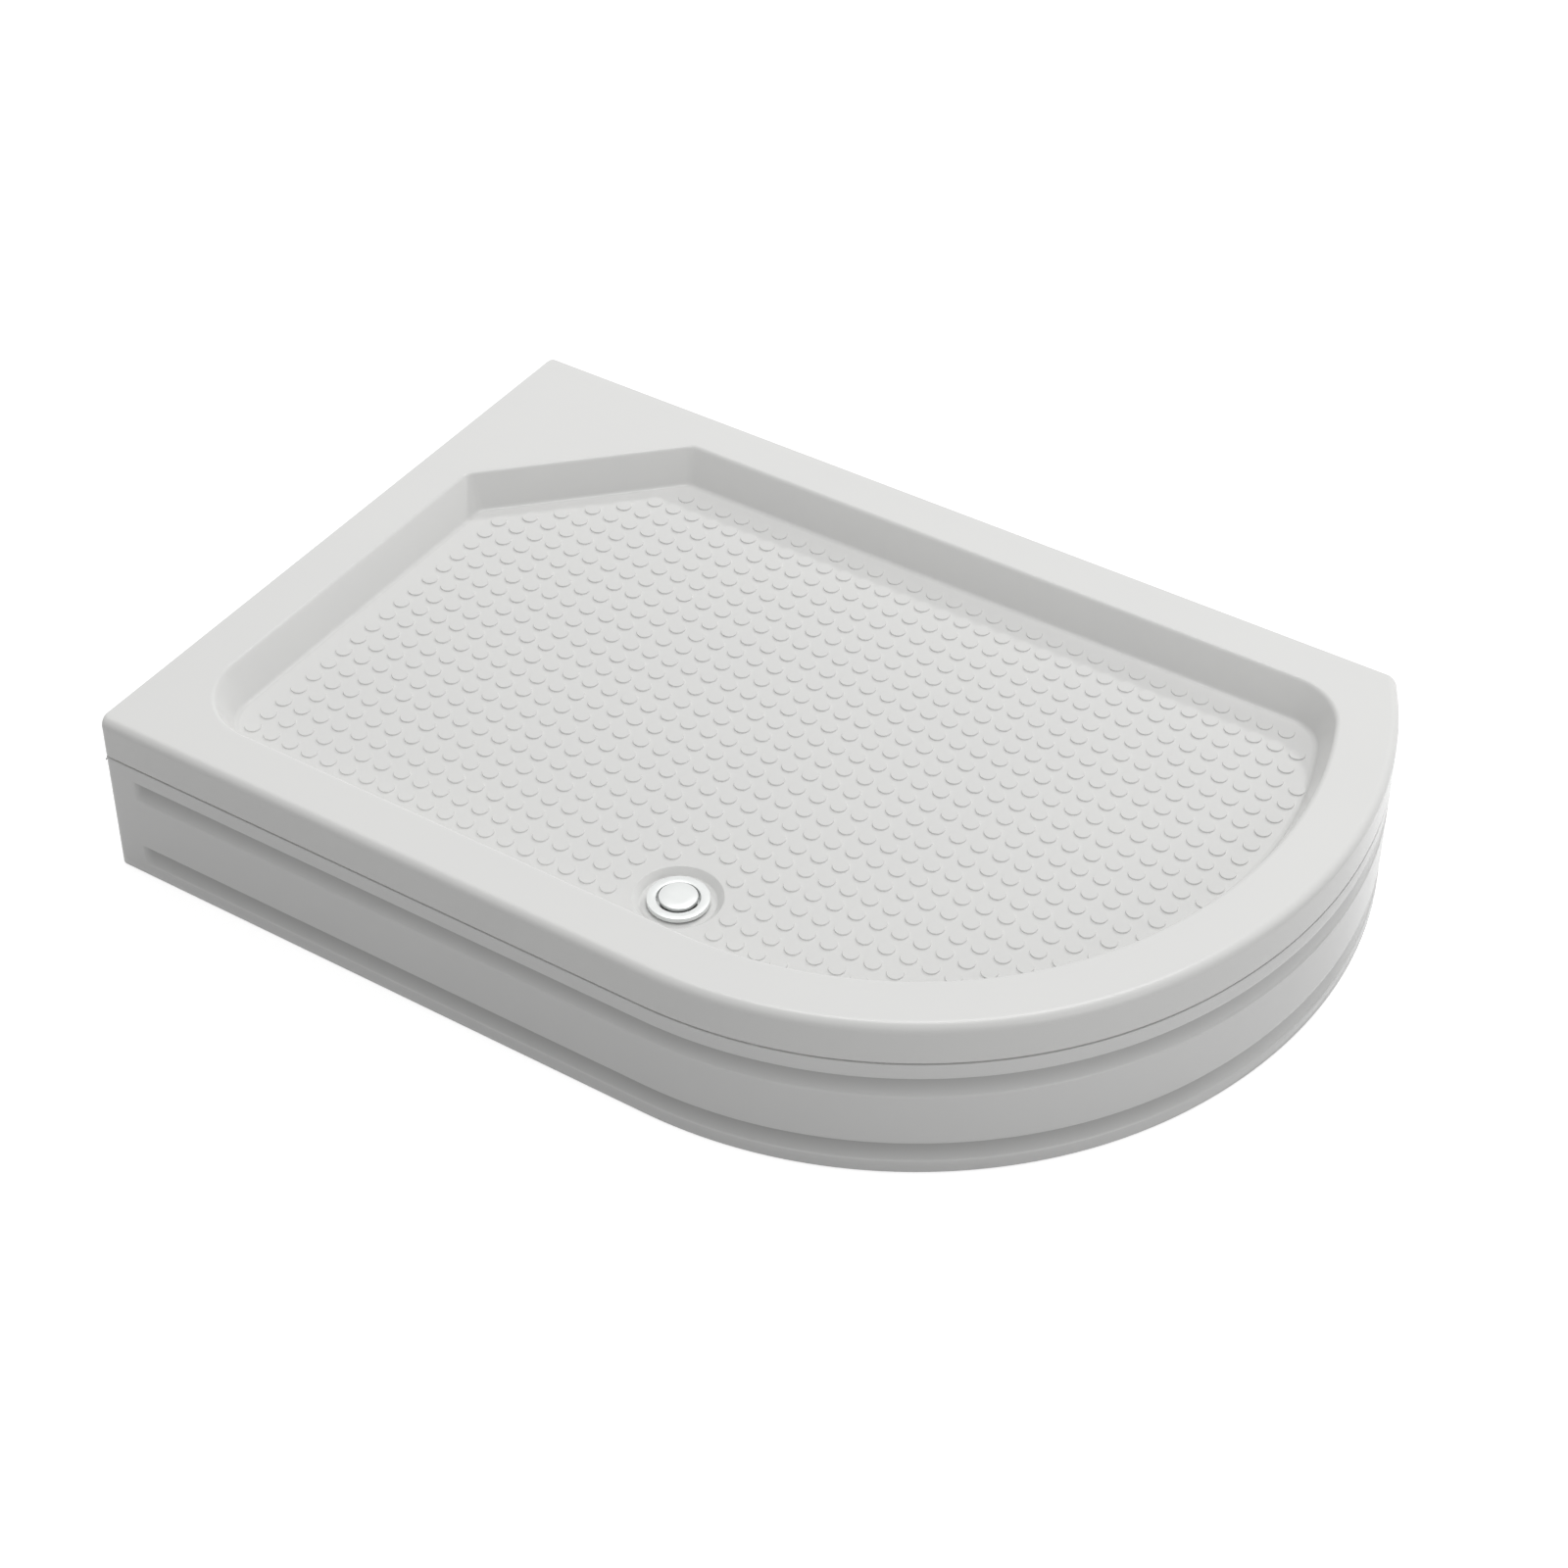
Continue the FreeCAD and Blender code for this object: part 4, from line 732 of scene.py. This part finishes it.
CAP_CORNERS = [
    (0.0, CAP_UNDER, 0), (CAP_RADIUS, CAP_UNDER, 0), (CAP_RADIUS, CAP_TOP, CAP_ROUND),
    (CAP_RADIUS / 2, CAP_TOP + CAP_CROWN / 2, 0), (0.0, CAP_TOP + CAP_CROWN, 0),
]

for name, body, node, corners in (
    ("waste_flange_ring", "tray", "waste_flange", FLANGE_CORNERS),
    ("plug_cap_disc", "plug", "plug_cap", CAP_CORNERS),
):
    bm = bmesh.new()
    turned(bm, rounded(corners))
    bmesh.ops.remove_doubles(bm, verts=bm.verts[:], dist=0.001)
    bmesh.ops.recalc_face_normals(bm, faces=bm.faces[:])
    piece(bm, name, chrome, body, "chrome", node)

# %% [markdown]
# Each levelling leg has an M12 stud with a 1.75 mm pitch. A thread is a helix, so the section of one pitch
# is spun with a little rise at each step, and turn after turn meets the one below. The ends are cut flat.

# %% Threaded studs
PITCH, TURN_STEPS, CREST = 1.75, 20, 0.19
ROOT_RADIUS, THREAD_DEPTH = 5.05, 0.83
FLANK = (PITCH - CREST) / 2
TURNS_BELOW, TURNS_ABOVE = 2, 1

for leg in range(1, 6):
    low, high = (Vector(corner) * 1000 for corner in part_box("leg_%d_stud" % leg))
    axis = (low + high) / 2
    turns = TURNS_BELOW + math.ceil((high.z - low.z) / PITCH) + TURNS_ABOVE
    bm = bmesh.new()
    line = [bm.verts.new((axis.x + ROOT_RADIUS, axis.y, low.z - TURNS_BELOW * PITCH))]
    for out, up in ((THREAD_DEPTH, FLANK), (0.0, CREST), (-THREAD_DEPTH, FLANK)):
        made = bmesh.ops.extrude_vert_indiv(bm, verts=line[-1:])["verts"]
        bmesh.ops.translate(bm, verts=made, vec=(out, 0, up))
        line += made
    bmesh.ops.spin(bm, geom=line + bm.edges[:], cent=axis, axis=(0, 0, 1), dvec=(0, 0, PITCH / TURN_STEPS),
                   angle=2 * math.pi * turns, steps=TURN_STEPS * turns)
    bmesh.ops.remove_doubles(bm, verts=bm.verts[:], dist=0.01)
    for z, out in ((low.z, -1), (high.z, 1)):
        bmesh.ops.bisect_plane(bm, geom=bm.verts[:] + bm.edges[:] + bm.faces[:], plane_co=(0, 0, z),
                               plane_no=(0, 0, out), clear_outer=True)
        cut = [edge for edge in bm.edges if all(abs(v.co.z - z) < 1e-3 for v in edge.verts)]
        bmesh.ops.edgeloop_fill(bm, edges=cut)
    bmesh.ops.recalc_face_normals(bm, faces=bm.faces[:])
    piece(bm, "leg_%d_threaded_stud" % leg, zinc, "leg_%d" % leg, "zinc_steel", "leg_%d_stud" % leg)

# %% [markdown]
# The camera stands where the photograph was taken from, with a long lens. Its place was worked out from the
# edges of the rim, whose sizes are known, and is given in metres and degrees.

# %% Camera
CAMERA_PLACE = (1.5268, -2.3407, 2.5103)
LOOK_DOWN, LOOK_ROUND = 40.77, 33.12
LENS, SENSOR = 80.0, 36.0

camera = bpy.data.objects.new("camera", bpy.data.cameras.new("camera"))
scene.collection.objects.link(camera)
camera.data.lens = LENS
camera.data.sensor_width = SENSOR
camera.location = CAMERA_PLACE
camera.rotation_euler = (math.radians(90 - LOOK_DOWN), 0.0, math.radians(LOOK_ROUND))
scene.camera = camera
print("camera is", round(camera.location.length, 2), "m from the origin")

# %% [markdown]
# The floor is a sheet of studio paper. It could simply be white, but then it would throw as much light on
# the panel as the sky does. So the paper is white to the camera and in reflections, still with the tray's
# shadow on it, and a mid grey to all other light.

# %% Floor
FLOOR_HALF, PAPER_GLOW = 8.0, 0.77
PAPER_SEEN, PAPER_UNSEEN = "#C8C8C8", "#BCBCBC"


def seen(tree):
    """1 for what the camera sees, straight, in a reflection or through glass, and 0 for all other light."""
    path = add(tree, "LightPath").outputs
    plain = add(tree, "Math", {0: path["Is Camera Ray"], 1: path["Is Glossy Ray"]}, operation="MAXIMUM")
    rays = {0: plain.outputs["Value"], 1: path["Is Transmission Ray"]}
    return add(tree, "Math", rays, operation="MAXIMUM").outputs["Value"]


bm = bmesh.new()
bmesh.ops.create_grid(bm, x_segments=1, y_segments=1, size=FLOOR_HALF)
mesh = bpy.data.meshes.new("studio_floor")
bm.to_mesh(mesh)
bm.free()
floor = bpy.data.objects.new("studio_floor", mesh)
scene.collection.objects.link(floor)
paper = bpy.data.materials.new("white_studio_paper")
paper.use_nodes = True
tree = paper.node_tree
glow = add(tree, "Emission", {"Color": (1, 1, 1, 1), "Strength": PAPER_GLOW}).outputs["Emission"]
pale = add(tree, "BsdfDiffuse", {"Color": colour(PAPER_SEEN)}).outputs["BSDF"]
white = add(tree, "AddShader", {0: glow, 1: pale}).outputs["Shader"]
grey = add(tree, "BsdfDiffuse", {"Color": colour(PAPER_UNSEEN)}).outputs["BSDF"]
mix = add(tree, "MixShader", {0: seen(tree), 1: grey, 2: white}).outputs["Shader"]
tree.links.new(mix, tree.nodes["Material Output"].inputs["Surface"])
mesh.materials.append(paper)
print("floor is", 2 * FLOOR_HALF, "m wide")

# %% [markdown]
# The light is a pale sky, brighter overhead, and three lamps: a small one far behind, whose short shadows
# draw the back wall and the dots, a large one overhead for the rim and the floor, and one at the side that
# runs along the bow. The sky is white to the camera and in reflections, as the paper is.

# %% Light
SKY_LOW, SKY_HIGH = 0.25, 0.55
# Name, direction, distance and width in metres, power in watts.
LAMPS = (
    ("key_lamp", (0.05, 1.0, 0.535), 8.0, 0.5, 156.0),
    ("overhead_softbox", (-0.1, 0.35, 0.93), 8.0, 4.4, 190.0),
    ("side_softbox", (0.9, -0.3, 0.38), 3.5, 2.0, 14.0),
)

world = bpy.data.worlds.new("studio")
world.use_nodes = True
scene.world = world
tree = world.node_tree
facing = add(tree, "SeparateXYZ", {"Vector": add(tree, "TexCoord").outputs["Generated"]})
sky = add(tree, "MapRange", {"Value": facing.outputs["Z"], "To Min": SKY_LOW, "To Max": SKY_HIGH})
level = add(tree, "MapRange", {"Value": seen(tree), "To Min": sky.outputs["Result"], "To Max": 1.0})
tree.links.new(level.outputs["Result"], tree.nodes["Background"].inputs["Strength"])
tree.nodes["Background"].inputs["Color"].default_value = (1, 1, 1, 1)
for name, towards, away, width, power in LAMPS:
    lamp = bpy.data.objects.new(name, bpy.data.lights.new(name, "AREA"))
    scene.collection.objects.link(lamp)
    lamp.data.shape = "DISK"
    lamp.data.size = width
    lamp.data.energy = power
    lamp.location = Vector(towards).normalized() * away
    lamp.rotation_euler = (-lamp.location).to_track_quat("-Z", "Y").to_euler()
    lamp.visible_camera = False
    lamp.visible_glossy = name != "key_lamp"
print("lamps:", len(LAMPS))
